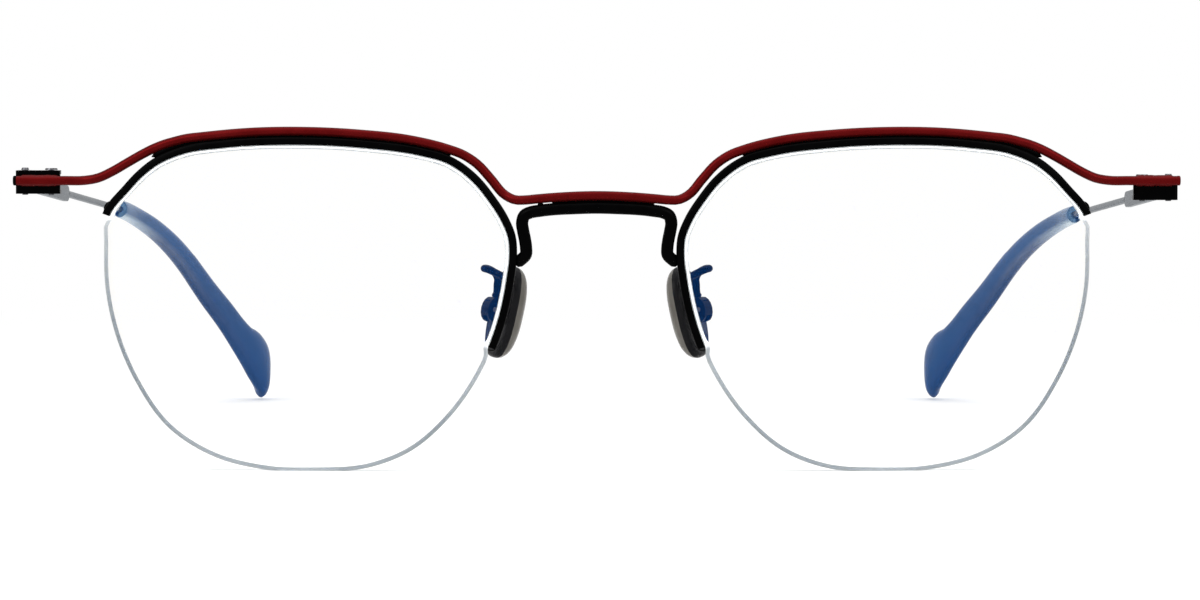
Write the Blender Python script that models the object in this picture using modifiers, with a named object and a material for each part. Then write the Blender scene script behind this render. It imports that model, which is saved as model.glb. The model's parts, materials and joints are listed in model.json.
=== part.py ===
# Half-rim spectacles: two lenses hung from wire upper rims, a brow bar over both,
# a bent bridge, adjustable nose pads and two folding temples with moulded tips.
# Metres, +Z up. The front faces -Y and the temples run towards +Y.
# The frame stands on the lower edges of its lenses and on its temple tips.

import math

import bmesh
import bpy
from mathutils import Matrix, Vector

MM = 0.001

# Front: lens size and the surface that both lenses lie on
LENS_WIDTH = 49.0 * MM
LENS_HEIGHT = 39.3 * MM
LENS_THICKNESS = 2.0 * MM
LENS_CURVE_RADIUS = 120.0 * MM
LENS_EDGE_BEVEL = 0.15 * MM
LENS_FOOT_FLAT = 0.12 * MM
RIM_STATIONS = 30
FREE_STATIONS = 25
BRIDGE_WIDTH = 19.8 * MM
WRAP_ANGLE = math.radians(4.0)

# Groove round the lens edge, and the cord and liner that lie in it
EDGE_GROOVE_WIDTH = 0.8 * MM
EDGE_GROOVE_DEPTH = 0.68 * MM
CORD_RADIUS = 0.22 * MM
CORD_INSET = 0.27 * MM
LINER_THICKNESS = 0.4 * MM
LINER_WIDTH = 0.8 * MM

# Upper rim, a channel wire
RIM_WIDTH = 0.92 * MM
RIM_DEPTH = 1.7 * MM
RIM_GROOVE_DEPTH = 0.35 * MM
RIM_GROOVE_WIDTH = 0.8 * MM
RIM_CORNER = 0.25 * MM
RIM_STEP_LENGTH = 1.3 * MM
RIM_TEMPLE_END_SHARE = 0.55
RIM_NOSE_END_SHARE = -0.25

# Brow bar and bridge wires
BAR_RADIUS = 0.56 * MM
BAR_HALF_WIDTH = 69.7 * MM
BAR_POINTS = 84
BRIDGE_RADIUS = 0.74 * MM
BRIDGE_ARCH = 1.0 * MM
BRIDGE_POINTS = 50
BRIDGE_END_GAP = 0.12 * MM
BRIDGE_FOOT = 0.25 * MM

# Gaps: soldered or seated faces, and the running fits
SEAT_GAP = 0.10 * MM
RUNNING_GAP = 0.05 * MM
CUT_OVERRUN = 0.5 * MM
WELD_DISTANCE = 0.0002 * MM

# Hinge block, its screw and its stop screw. The two blocks sit at different heights
BLOCK_LENGTH = 5.3 * MM
BLOCK_HEIGHT = 2.8 * MM
BLOCK_SPINE = 0.8 * MM
BLOCK_FLANGE = 0.475 * MM
BLOCK_DROP_LEFT = 0.95 * MM
BLOCK_DROP_RIGHT = 0.2 * MM
BLOCK_OVERHANG = 1.1 * MM
BLOCK_CORNER = 0.3 * MM
EAR_STEPS = 9
EYE_RADIUS = 1.0 * MM
SCREW_RADIUS = 0.35 * MM
SCREW_HEAD_RADIUS = 0.5 * MM
SCREW_HEAD_HEIGHT = 0.24 * MM
SCREW_STAND_OUT = 0.15 * MM
STOP_RADIUS = 0.35 * MM
STOP_HEAD_RADIUS = 0.78 * MM
STOP_HEAD_HEIGHT = 0.2 * MM
STOP_DISTANCE = 3.2 * MM
STOP_FORWARD = 0.55 * MM
STOP_MARGIN = 0.3 * MM

# Temple: a straight shaft, flat for its first length and round behind that
SHAFT_LENGTH = 72.4 * MM
SHAFT_IN_ANGLE = math.radians(3.8)
SHAFT_DOWN_ANGLE = math.radians(4.2)
NECK_LENGTH = 5.6 * MM
NECK_HEIGHT = 1.1 * MM
NECK_STEP = 0.8 * MM
LEAF_LENGTH = 29.0 * MM
LEAF_HEIGHT = 2.0 * MM
LEAF_THICKNESS = 0.8 * MM
LEAF_CORNER = 0.12 * MM
WIRE_RADIUS = 0.43 * MM
CORE_SHARE = 0.82
SHAFT_STATIONS = 5
CORE_STATIONS = 15

# Temple tip: how far it runs back, in and down, and its widest section
TIP_REACH = 54.7 * MM
TIP_IN = 15.7 * MM
TIP_END_HEIGHT = 0.55 * MM
TIP_WIDTH = 3.1 * MM
TIP_HEIGHT = 8.2 * MM
TIP_SIDES = 12

# Nose pads: place of the pad screw, the pad (a fullness of 2 is an ellipse) and its arm
PAD_PIVOT_X = 12.65 * MM
PAD_PIVOT_Y = 7.6 * MM
PAD_PIVOT_Z = 19.1 * MM
PAD_SPLAY = math.radians(25.0)
PAD_TILT = math.radians(13.5)
PAD_LENGTH = 11.2 * MM
PAD_WIDTH = 6.8 * MM
PAD_THICKNESS = 2.4 * MM
PAD_STANDOFF = 1.1 * MM
PAD_FULLNESS = 2.6
PAD_STEPS = 20
INSERT_RIM = 0.8 * MM
INSERT_DEPTH = 1.2 * MM
TAB_WIDTH = 1.0 * MM
TAB_RADIUS = 0.62 * MM
BOX_HEIGHT = 3.0 * MM
BOX_WIDTH = 2.2 * MM
BOX_FRONT = 0.8 * MM
BOX_BACK = 0.92 * MM
BOX_CAP = 0.5 * MM
PAD_SCREW_RADIUS = 0.28 * MM
PAD_SCREW_HEAD_RADIUS = 0.5 * MM
PAD_SCREW_HEAD_HEIGHT = 0.22 * MM
ARM_RADIUS = 0.45 * MM
ARM_POINTS = 26
ARM_LEAD = 0.4 * MM
ARM_GAP = 0.16 * MM

WIRE_RESOLUTION = 2
CORD_RESOLUTION = 1
ROUND_SEGMENTS = 18
SPAN_STEPS = 10
BOX_STEPS = 8
CREASE_ANGLE = math.radians(35.0)

# Lens outline: shares of half the lens width (towards the temple) and of half its height,
# from the temple side over the top to the nose and back along the bottom
LENS_OUTLINE_SHARES = [
    (0.991, 0.370), (0.985, 0.548), (0.884, 0.711), (0.816, 0.800), (0.744, 0.870),
    (0.610, 0.942), (0.404, 0.981), (0.062, 1.000), (-0.278, 0.981), (-0.549, 0.936),
    (-0.686, 0.888), (-0.822, 0.765), (-0.891, 0.660), (-0.962, 0.521), (-0.994, 0.419),
    (-1.000, 0.320), (-0.986, 0.163), (-0.936, -0.117), (-0.850, -0.378), (-0.693, -0.666),
    (-0.502, -0.873), (-0.308, -0.970), (-0.066, -1.000), (0.178, -0.992), (0.469, -0.904),
    (0.678, -0.738), (0.839, -0.458), (0.944, -0.140), (0.986, 0.126),
]

# Rings of the lens faces, as shares of the way out from the middle
LENS_RING_SHARES = [0.0, 0.42, 0.76]
# Rounded end of the temple leaf: places as shares of half its height
LEAF_END_SHARES = [0.3, 0.6, 0.8]

# Brow bar over the nose: shares of half the bridge width, and of half the lens height
BAR_NOSE_SHARES = [(0.0, 0.6712), (0.461, 0.6622), (0.700, 0.6522), (0.880, 0.6437), (0.960, 0.6437)]
# Brow bar beside the lenses: shares of half the lens width and height
BAR_CLIMB_SHARES = [(-0.957, 0.6763), (-0.891, 0.7715), (-0.823, 0.8627), (-0.753, 0.9189)]
BAR_ON_RIM_SHARES = [-0.67, -0.50, -0.25, 0.0, 0.25, 0.50]
BAR_FALL_SHARES = [
    (0.600, 1.0105), (0.650, 0.9948), (0.700, 0.9770), (0.760, 0.9469), (0.818, 0.9098),
    (0.886, 0.8617), (0.955, 0.8126), (1.026, 0.7725), (1.098, 0.7565),
]
BAR_END_SHARES = (1.19, 0.7555)
BAR_TIP_SHARE = 0.6

# Bridge: shares of half the bridge width, and of half the lens height
BRIDGE_UNDER_BAR_SHARES = [0.0, 0.300, 0.438]
BRIDGE_LEG_SHARES = [
    (0.678, 0.5800), (0.797, 0.5690), (0.864, 0.5519), (0.893, 0.5098), (0.882, 0.4617),
    (0.861, 0.4106), (0.846, 0.3564), (0.846, 0.3193),
]
BRIDGE_END_SHARE = 0.2792

# Temple tip centreline: shares of its reach back, its run inwards and its drop
TIP_PATH_SHARES = [
    (0.150, 0.060, 0.035), (0.314, 0.205, 0.116), (0.424, 0.305, 0.190), (0.534, 0.408, 0.285),
    (0.662, 0.563, 0.444), (0.781, 0.748, 0.610), (0.881, 0.905, 0.774), (0.954, 0.985, 0.912),
    (1.000, 1.000, 1.000),
]
# Temple tip sections: share of its length, of its width, and of its height above and below
TIP_SECTION_SHARES = [
    (0.000, 0.56, 0.122, 0.122), (0.012, 0.68, 0.146, 0.146), (0.060, 0.70, 0.150, 0.150),
    (0.150, 0.72, 0.160, 0.160), (0.240, 0.76, 0.178, 0.178), (0.330, 0.79, 0.197, 0.197),
    (0.420, 0.82, 0.217, 0.217), (0.510, 0.84, 0.233, 0.236), (0.600, 0.86, 0.240, 0.252),
    (0.690, 0.88, 0.248, 0.272), (0.756, 0.91, 0.272, 0.300), (0.797, 0.95, 0.375, 0.322),
    (0.830, 0.98, 0.492, 0.338), (0.864, 1.00, 0.545, 0.350), (0.897, 0.98, 0.540, 0.350),
    (0.927, 0.92, 0.478, 0.325), (0.955, 0.80, 0.375, 0.280), (0.980, 0.60, 0.245, 0.205),
    (0.995, 0.34, 0.120, 0.110),
]

# Nose pad turned section: shares of its half size and of its thickness, from the face inwards
PAD_FACE_SHARES = [(0.45, 0.97), (0.75, 0.86), (0.93, 0.62), (1.0, 0.35), (0.97, 0.08), (0.9, 0.0)]

# Pad arm: places from the top of the pad box, as shares of the way in to the rim, of the
# way forward to the rim (negative) and of the rise to it
ARM_SHARES = [
    (0.98, -0.84, 1.07), (0.70, -0.66, 1.45), (0.10, -0.50, 1.85), (-0.50, -0.40, 2.15),
    (-0.78, -0.22, 2.22), (-0.50, -0.04, 2.15), (-0.10, 0.02, 1.85), (0.10, 0.0, 1.40),
    (0.08, -0.04, 0.90),
]

half_width = LENS_WIDTH / 2
half_height = LENS_HEIGHT / 2
half_bridge = BRIDGE_WIDTH / 2
lens_x = half_bridge + half_width
lens_z = half_height
mid_depth = LENS_THICKNESS / 2
rim_half = RIM_WIDTH / 2
LEFT = 1
RIGHT = -1
SIDES = {"left": LEFT, "right": RIGHT}


def collection(name):
    group = bpy.data.collections.new(name)
    bpy.context.scene.collection.children.link(group)
    return group


def material(name, colour, roughness, metallic, alpha=1.0):
    finish = bpy.data.materials.new(name)
    finish.use_nodes = True
    shader = finish.node_tree.nodes["Principled BSDF"]
    shader.inputs["Base Color"].default_value = (*colour, 1.0)
    shader.inputs["Roughness"].default_value = roughness
    shader.inputs["Metallic"].default_value = metallic
    shader.inputs["Alpha"].default_value = alpha
    return finish


def new_object(name, data, group, finish=None):
    piece = bpy.data.objects.new(name, data)
    group.objects.link(piece)
    if finish is not None:
        data.materials.append(finish)
    return piece


def hide_guide(piece):
    piece.hide_render = True
    piece.display_type = 'WIRE'
    return piece


def smooth(points, steps, closed=False):
    # Curve through every point, with tangents weighted by the lengths of the spans
    count = len(points)
    result = []
    for index in range(count if closed else count - 1):
        start = points[index]
        end = points[(index + 1) % count]
        before = points[index - 1] if closed or index > 0 else start * 2 - end
        after = points[(index + 2) % count] if closed or index + 2 < count else end * 2 - start
        span_in = (start - before).length
        span = (end - start).length
        span_out = (after - end).length
        turn_in = (start - before) / span_in - (end - before) / (span_in + span)
        turn_out = (after - end) / span_out - (after - start) / (span + span_out)
        tangent_in = turn_in * span + (end - start)
        tangent_out = turn_out * span + (end - start)
        for step in range(steps):
            t = step / steps
            weight = 3 * t ** 2 - 2 * t ** 3
            ease_in = t ** 3 - 2 * t ** 2 + t
            ease_out = t ** 3 - t ** 2
            point = start * (1 - weight) + end * weight
            result.append(point + tangent_in * ease_in + tangent_out * ease_out)
    if not closed:
        result.append(points[-1].copy())
    return result


def lengths_along(points, closed=False):
    total = [0.0]
    for index in range(1, len(points) + (1 if closed else 0)):
        step = points[index % len(points)] - points[index - 1]
        total.append(total[-1] + step.length)
    return total


def point_along(points, lengths, distance):
    # Point at a distance along the polyline, which wraps if it has one more length than points
    distance = min(max(distance, 0.0), lengths[-1])
    index = 0
    while index < len(lengths) - 2 and lengths[index + 1] < distance:
        index += 1
    part = (distance - lengths[index]) / (lengths[index + 1] - lengths[index])
    return points[index].lerp(points[(index + 1) % len(points)], part)


def evenly(points, count):
    lengths = lengths_along(points)
    return [point_along(points, lengths, lengths[-1] * i / (count - 1)) for i in range(count)]


lens_loop = smooth([Vector((x * half_width, z * half_height)) for x, z in LENS_OUTLINE_SHARES],
                   SPAN_STEPS, closed=True)
loop_lengths = lengths_along(lens_loop, closed=True)


def loop_point(distance, grow=0.0):
    # Point of the lens outline at a distance along it, moved outwards by grow
    total = loop_lengths[-1]
    here = point_along(lens_loop, loop_lengths, distance % total)
    reach = LENS_THICKNESS / 2
    ahead = point_along(lens_loop, loop_lengths, (distance + reach) % total)
    behind = point_along(lens_loop, loop_lengths, (distance - reach) % total)
    run = (ahead - behind).normalized()
    return here + Vector((run.y, -run.x)) * grow


def loop_distance(height, toward_nose):
    # Where the outline crosses a height on its nose side or its temple side
    for index in range(len(lens_loop)):
        start = lens_loop[index]
        end = lens_loop[(index + 1) % len(lens_loop)]
        on_side = (start.x < 0) == toward_nose
        if on_side and (start.y - height) * (end.y - height) <= 0 and start.y != end.y:
            part = (height - start.y) / (end.y - start.y)
            return loop_lengths[index] + part * (loop_lengths[index + 1] - loop_lengths[index])
    raise ValueError("the lens outline never reaches this height")


def top_distance(across):
    # Where the upper half of the outline crosses a place across the lens
    for index in range(len(lens_loop)):
        start = lens_loop[index]
        end = lens_loop[(index + 1) % len(lens_loop)]
        if start.y > 0 and start.x >= across > end.x:
            part = (across - start.x) / (end.x - start.x)
            return loop_lengths[index] + part * (loop_lengths[index + 1] - loop_lengths[index])
    raise ValueError("the lens outline never reaches this place")


rim_start = loop_distance(RIM_TEMPLE_END_SHARE * half_height, False)
rim_end = loop_distance(RIM_NOSE_END_SHARE * half_height, True)
lens_inset = rim_half + SEAT_GAP


def front_depth(across, height):
    # Depth of the front surface at a place measured from the middle of a lens
    bulge = (across ** 2 + height ** 2) / (2 * LENS_CURVE_RADIUS)
    return bulge + math.tan(WRAP_ANGLE) * across


def front_point(side, flat, depth=0.0):
    y = front_depth(flat.x, flat.y) + depth
    return Vector((side * (lens_x + flat.x), y, lens_z + flat.y))


def even_steps(start, end, count):
    return [start + (end - start) * index / count for index in range(count)]


# Places round the lens edge that the lens, the rim, the liner and the cord share:
# along the rim, then a short step out at each end of the rim and the free edge between
loop_total = loop_lengths[-1]
free_start = rim_end + RIM_STEP_LENGTH
free_end = loop_total + rim_start - RIM_STEP_LENGTH
stations = even_steps(rim_start, rim_end, RIM_STATIONS) + [rim_end]
stations += even_steps(free_start, free_end, FREE_STATIONS) + [free_end]


def edge_inset(distance):
    # The lens edge stands back under the rim and comes out flush beyond the rim's ends
    past = max(distance - rim_end, 0.0)
    left = max(loop_total + rim_start - distance, 0.0)
    return lens_inset * (1 - min(past / RIM_STEP_LENGTH, left / RIM_STEP_LENGTH, 1.0))


def stations_between(start, end):
    return [start] + [place for place in stations if start < place < end] + [end]


def face_outwards(shape):
    # All faces turned the same way round, and then outwards
    bmesh.ops.recalc_face_normals(shape, faces=shape.faces)
    if shape.calc_volume(signed=True) < 0:
        bmesh.ops.reverse_faces(shape, faces=shape.faces)


def wire(name, points, radius, group, finish, resolution=WIRE_RESOLUTION, end_share=1.0):
    # Round wire along the points, with closed ends
    curve = bpy.data.curves.new(name, 'CURVE')
    curve.dimensions = '3D'
    curve.bevel_depth = radius
    curve.bevel_resolution = resolution
    curve.use_fill_caps = True
    spline = curve.splines.new('POLY')
    spline.points.add(len(points) - 1)
    for knot, place in zip(spline.points, points):
        knot.co = (*place, 1.0)
    spline.points[0].radius = end_share
    spline.points[-1].radius = end_share
    return new_object(name, curve, group, finish)


def to_mesh(piece, group, finish=None):
    # A curve object made a plain mesh object, with its caps welded on
    bpy.context.view_layer.update()
    graph = bpy.context.evaluated_depsgraph_get()
    mesh = bpy.data.meshes.new_from_object(piece.evaluated_get(graph))
    shape = bmesh.new()
    shape.from_mesh(mesh)
    bmesh.ops.remove_doubles(shape, verts=shape.verts, dist=WELD_DISTANCE)
    face_outwards(shape)
    shape.to_mesh(mesh)
    shape.free()
    name = piece.name
    place = piece.matrix_world.copy()
    bpy.data.objects.remove(piece)
    mesh.materials.clear()
    solid = new_object(name, mesh, group, finish)
    solid.name = name
    solid.matrix_world = place
    return solid


def loft(name, rings, group, finish=None):
    # Closed body through rings of points that all have the same count
    shape = bmesh.new()
    rows = [[shape.verts.new(place) for place in ring] for ring in rings]
    for row, following in zip(rows, rows[1:]):
        for index in range(len(row)):
            after = (index + 1) % len(row)
            shape.faces.new((row[index], row[after], following[after], following[index]))
    shape.faces.new(rows[0])
    shape.faces.new(rows[-1])
    face_outwards(shape)
    mesh = bpy.data.meshes.new(name)
    shape.to_mesh(mesh)
    shape.free()
    return new_object(name, mesh, group, finish)


def prism(name, outline, height, group, finish=None):
    # Flat outline in X and Y, extruded to a height about Z = 0
    curve = bpy.data.curves.new(name, 'CURVE')
    curve.dimensions = '2D'
    curve.fill_mode = 'BOTH'
    curve.extrude = height / 2
    spline = curve.splines.new('POLY')
    spline.points.add(len(outline) - 1)
    for knot, place in zip(spline.points, outline):
        knot.co = (place[0], place[1], 0.0, 1.0)
    spline.use_cyclic_u = True
    return to_mesh(new_object(name, curve, group, None), group, finish)


def rod(name, radius, low, high, group, finish=None, turn=None):
    # Round bar along Z from low to high, turned where a turn is given
    shape = bmesh.new()
    place = Matrix.Translation((0.0, 0.0, (low + high) / 2))
    bmesh.ops.create_cone(shape, cap_ends=True, segments=ROUND_SEGMENTS, radius1=radius,
                          radius2=radius, depth=high - low, matrix=place)
    if turn is not None:
        bmesh.ops.transform(shape, matrix=turn, verts=shape.verts)
    mesh = bpy.data.meshes.new(name)
    shape.to_mesh(mesh)
    shape.free()
    return new_object(name, mesh, group, finish)


def box(name, low, high, group, finish=None):
    shape = bmesh.new()
    bmesh.ops.create_cube(shape, size=1)
    low = Vector(low)
    high = Vector(high)
    size = high - low
    place = Matrix.Translation((low + high) / 2) @ Matrix.Diagonal((*size, 1.0))
    bmesh.ops.transform(shape, matrix=place, verts=shape.verts)
    mesh = bpy.data.meshes.new(name)
    shape.to_mesh(mesh)
    shape.free()
    return new_object(name, mesh, group, finish)


def turned(name, profile, steps, group, finish=None):
    # Body turned about Z from a profile of (radius, height), outer side top to bottom
    mesh = bpy.data.meshes.new(name)
    mesh.from_pydata([(r, 0.0, h) for r, h in profile],
                     [(i, i + 1) for i in range(len(profile) - 1)], [])
    piece = new_object(name, mesh, group, None)
    screw = piece.modifiers.new("turn", 'SCREW')
    screw.axis = 'Z'
    screw.steps = steps
    screw.render_steps = steps
    screw.use_merge_vertices = True
    screw.merge_threshold = WELD_DISTANCE
    return to_mesh(piece, group, finish)


def cut(piece, cutter, operation='DIFFERENCE'):
    hide_guide(cutter)
    step = piece.modifiers.new(cutter.name, 'BOOLEAN')
    step.operation = operation
    step.solver = 'EXACT'
    step.object = cutter


def shade_round(piece):
    piece.data.shade_smooth()
    piece.data.set_sharp_from_angle(angle=CREASE_ANGLE)


def mapped(piece, rule):
    # Every vertex of a mesh moved by a rule, with its faces pointing outwards again
    shape = bmesh.new()
    shape.from_mesh(piece.data)
    for corner in shape.verts:
        corner.co = rule(corner.co)
    face_outwards(shape)
    shape.to_mesh(piece.data)
    shape.free()
    return piece


# Empty the scene and set up the collections and finishes
for old in list(bpy.data.objects):
    bpy.data.objects.remove(old)
parts = collection("eyeglass_frame")
cutters = collection("cutters")

red_enamel = material("red_enamel", (0.16, 0.008, 0.012), 0.34, 0.6)
black_enamel = material("black_enamel", (0.008, 0.008, 0.009), 0.3, 0.4)
silver_metal = material("silver_metal", (0.24, 0.26, 0.28), 0.32, 1.0)
steel = material("steel", (0.05, 0.05, 0.055), 0.35, 0.8)
clear_lens = material("clear_lens", (0.96, 0.98, 0.99), 0.03, 0.0, 0.25)
clear_nylon = material("clear_nylon", (0.86, 0.89, 0.90), 0.3, 0.0, 0.6)
slate_acetate = material("slate_acetate", (0.06, 0.10, 0.17), 0.18, 0.0)
smoke_silicone = material("smoke_silicone", (0.30, 0.27, 0.22), 0.3, 0.0, 0.8)
black_plastic = material("black_plastic", (0.01, 0.01, 0.011), 0.4, 0.0)

frame_root = bpy.data.objects.new("frame_root", None)
parts.objects.link(frame_root)


# Lenses

def lens(name, side):
    groove_low = (LENS_THICKNESS - EDGE_GROOVE_WIDTH) / 2
    groove_high = (LENS_THICKNESS + EDGE_GROOVE_WIDTH) / 2
    edge_zone = EDGE_GROOVE_DEPTH + LENS_EDGE_BEVEL
    floor = half_width - EDGE_GROOVE_DEPTH
    profile = [(share * half_width, LENS_THICKNESS) for share in LENS_RING_SHARES]
    profile += [
        (half_width - edge_zone, LENS_THICKNESS),
        (half_width - LENS_EDGE_BEVEL, LENS_THICKNESS),
        (half_width, LENS_THICKNESS - LENS_EDGE_BEVEL),
        (half_width, groove_high),
        (floor, groove_high),
        (floor, groove_low),
        (half_width, groove_low),
        (half_width, LENS_EDGE_BEVEL),
        (half_width - LENS_EDGE_BEVEL, 0.0),
        (half_width - edge_zone, 0.0),
    ]
    profile += [(share * half_width, 0.0) for share in reversed(LENS_RING_SHARES)]
    blank = turned(name, profile, len(stations), parts, clear_lens)

    def to_outline(place):
        radius = Vector((place.x, place.y)).length
        turn = math.atan2(place.y, place.x) / (2 * math.pi)
        distance = stations[round(turn * len(stations)) % len(stations)]
        inset = min(half_width - radius, edge_zone)
        share = min(radius / (half_width - edge_zone), 1.0)
        flat = loop_point(distance, -edge_inset(distance) - inset) * share
        flat.y = max(flat.y, LENS_FOOT_FLAT - half_height)
        return front_point(side, flat, place.z)

    return mapped(blank, to_outline)


# Rims, their liners and the nylon cords that hold the lenses up from below

def channel_section():
    # Rim section: across the wire in X with the groove at the lens side, along the depth in Y
    outer = rim_half
    floor = RIM_GROOVE_DEPTH - rim_half
    side = RIM_DEPTH / 2
    slot = RIM_GROOVE_WIDTH / 2
    return [
        (outer, RIM_CORNER - side), (outer, side - RIM_CORNER), (outer - RIM_CORNER, side),
        (-outer, side), (-outer, slot), (floor, slot), (floor, -slot), (-outer, -slot),
        (-outer, -side), (outer - RIM_CORNER, -side),
    ]


def strip_section(width, depth):
    x = width / 2
    y = depth / 2
    return [(x, -y), (x, y), (-x, y), (-x, -y)]


def swept(name, section, points, finish):
    # Section swept along points of the front, upright in a frame whose Z is the depth
    guide_curve = bpy.data.curves.new(name + "_section", 'CURVE')
    guide_curve.dimensions = '2D'
    outline = guide_curve.splines.new('POLY')
    outline.points.add(len(section) - 1)
    for knot, place in zip(outline.points, section):
        knot.co = (place[0], place[1], 0.0, 1.0)
    outline.use_cyclic_u = True
    guide = hide_guide(new_object(name + "_section", guide_curve, cutters))
    curve = bpy.data.curves.new(name, 'CURVE')
    curve.dimensions = '3D'
    curve.twist_mode = 'Z_UP'
    curve.bevel_mode = 'OBJECT'
    curve.bevel_object = guide
    curve.use_fill_caps = True
    spline = curve.splines.new('POLY')
    spline.points.add(len(points) - 1)
    for knot, place in zip(spline.points, points):
        knot.co = (place.x, place.z, -place.y, 1.0)
    piece = new_object(name, curve, parts)
    piece.rotation_euler = (math.pi / 2, 0.0, 0.0)
    return to_mesh(piece, parts, finish)


def edge_path(side, start, end, grow):
    # Path along the lens edge at its middle depth, always with the lens on the same hand
    path = [front_point(side, loop_point(d, grow), mid_depth) for d in stations_between(start, end)]
    return path if side == LEFT else list(reversed(path))


def rim(name, side):
    return swept(name, channel_section(), edge_path(side, rim_start, rim_end, 0.0), black_enamel)


def rim_liner(name, side):
    path = edge_path(side, rim_start + SEAT_GAP, rim_end - SEAT_GAP, -lens_inset)
    return swept(name, strip_section(LINER_WIDTH, LINER_THICKNESS), path, clear_nylon)


def nylon_cord(name, side):
    points = []
    for distance in stations_between(rim_end + SEAT_GAP, loop_total + rim_start - SEAT_GAP):
        flat = loop_point(distance, -CORD_INSET - edge_inset(distance))
        flat.y = max(flat.y, CORD_INSET + LENS_FOOT_FLAT - half_height)
        points.append(front_point(side, flat, mid_depth))
    return wire(name, points, CORD_RADIUS, parts, clear_nylon, CORD_RESOLUTION)


# Brow bar and bridge

def nose_depth(across):
    # Depth of the wires between the lenses, which arch forwards over the nose
    edge = front_depth(-half_width, 0.0) + mid_depth
    return edge - BRIDGE_ARCH * (1 - (across / half_bridge) ** 2)


bar_over_rim = rim_half + SEAT_GAP + BAR_RADIUS
fall_x, fall_z = BAR_FALL_SHARES[-1]
end_depth = front_depth(fall_x * half_width, fall_z * half_height) + mid_depth
bar_end_z = lens_z + BAR_END_SHARES[1] * half_height


def bar_half():
    # Brow bar from the middle of the nose out to its end on the left
    points = []
    for share, height in BAR_NOSE_SHARES:
        x = share * half_bridge
        points.append(Vector((x, nose_depth(x), lens_z + height * half_height)))
    for share, height in BAR_CLIMB_SHARES:
        points.append(front_point(LEFT, Vector((share * half_width, height * half_height)), mid_depth))
    for share in BAR_ON_RIM_SHARES:
        flat = loop_point(top_distance(share * half_width), bar_over_rim)
        points.append(front_point(LEFT, flat, mid_depth))
    for share, height in BAR_FALL_SHARES:
        points.append(front_point(LEFT, Vector((share * half_width, height * half_height)), mid_depth))
    points.append(Vector((lens_x + BAR_END_SHARES[0] * half_width, end_depth, bar_end_z)))
    points.append(Vector((BAR_HALF_WIDTH, end_depth, bar_end_z)))
    return points


def both_halves(half):
    mirrored = [Vector((-p.x, p.y, p.z)) for p in reversed(half[1:])]
    return mirrored + half


def brow_bar(name):
    path = evenly(smooth(both_halves(bar_half()), SPAN_STEPS), BAR_POINTS)
    rounding = (path[1] - path[0]).normalized() * BAR_RADIUS / 2
    path.insert(1, path[0] + rounding)
    path.insert(-1, path[-1] + Vector((-rounding.x, rounding.y, rounding.z)))
    return wire(name, path, BAR_RADIUS, parts, red_enamel, end_share=BAR_TIP_SHARE)


def bridge(name):
    under = BAR_RADIUS + SEAT_GAP + BRIDGE_RADIUS
    bar = smooth(bar_half(), SPAN_STEPS)
    half = []
    for share in BRIDGE_UNDER_BAR_SHARES:
        x = share * half_bridge
        above = min(bar, key=lambda p: abs(p.x - x))
        half.append(Vector((x, nose_depth(x), above.z - under)))
    for share, height in BRIDGE_LEG_SHARES:
        x = share * half_bridge
        half.append(Vector((x, nose_depth(x), lens_z + height * half_height)))
    # Each foot meets the rim square, after a short straight run
    joint = loop_distance(BRIDGE_END_SHARE * half_height, True)
    foot = front_point(LEFT, loop_point(joint, rim_half + BRIDGE_END_GAP), mid_depth)
    half.append(foot - Vector((BRIDGE_FOOT, 0.0, 0.0)))
    path = evenly(smooth(both_halves(half), SPAN_STEPS), BRIDGE_POINTS)
    path = [Vector((-foot.x, foot.y, foot.z)), *path, foot]
    return wire(name, path, BRIDGE_RADIUS, parts, black_enamel)


# Hinges

spine_front = end_depth + BAR_RADIUS + SEAT_GAP
hinge_x = BAR_HALF_WIDTH - BLOCK_OVERHANG
hinge_y = spine_front + BLOCK_SPINE + SEAT_GAP + EYE_RADIUS
slot_height = BLOCK_HEIGHT - 2 * BLOCK_FLANGE


def hinge_place(side):
    drop = BLOCK_DROP_LEFT if side == LEFT else BLOCK_DROP_RIGHT
    return Vector((side * hinge_x, hinge_y, bar_end_z - drop))


def block_outline(side):
    # Seen from above, from the hinge axis: a straight spine and an ear round the screw
    ear = EYE_RADIUS - RUNNING_GAP
    front = spine_front - hinge_y
    inner = ear - BLOCK_LENGTH
    back = STOP_RADIUS + STOP_MARGIN - STOP_FORWARD
    corners = [(inner, front + BLOCK_CORNER), (inner + BLOCK_CORNER, front),
               (ear - BLOCK_CORNER, front), (ear, front + BLOCK_CORNER)]
    sweep = math.pi - math.asin(back / ear)
    for step in range(EAR_STEPS + 1):
        turn = sweep * step / EAR_STEPS
        corners.append((ear * math.cos(turn), ear * math.sin(turn)))
    corners += [(inner + BLOCK_CORNER, back), (inner, back - BLOCK_CORNER)]
    return [(side * x, y) for x, y in corners]


def hinge_block(name, side):
    block = prism(name, block_outline(side), BLOCK_HEIGHT, parts, black_enamel)
    back = spine_front + BLOCK_SPINE - hinge_y
    reach = BLOCK_LENGTH + CUT_OVERRUN
    slot = box(name + "_slot", (-reach, back, -slot_height / 2),
               (reach, EYE_RADIUS + CUT_OVERRUN, slot_height / 2), cutters)
    past = BLOCK_HEIGHT / 2 + CUT_OVERRUN
    screw_hole = rod(name + "_hole", SCREW_RADIUS + RUNNING_GAP, -past, past, cutters)
    stop_hole = rod(name + "_stop", STOP_RADIUS + RUNNING_GAP, -past, past, cutters,
                    turn=Matrix.Translation((-side * STOP_DISTANCE, -STOP_FORWARD, 0.0)))
    for cutter in (slot, screw_hole, stop_hole):
        cut(block, cutter)
        cutter.parent = block
    block.location = hinge_place(side)
    return block


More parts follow.
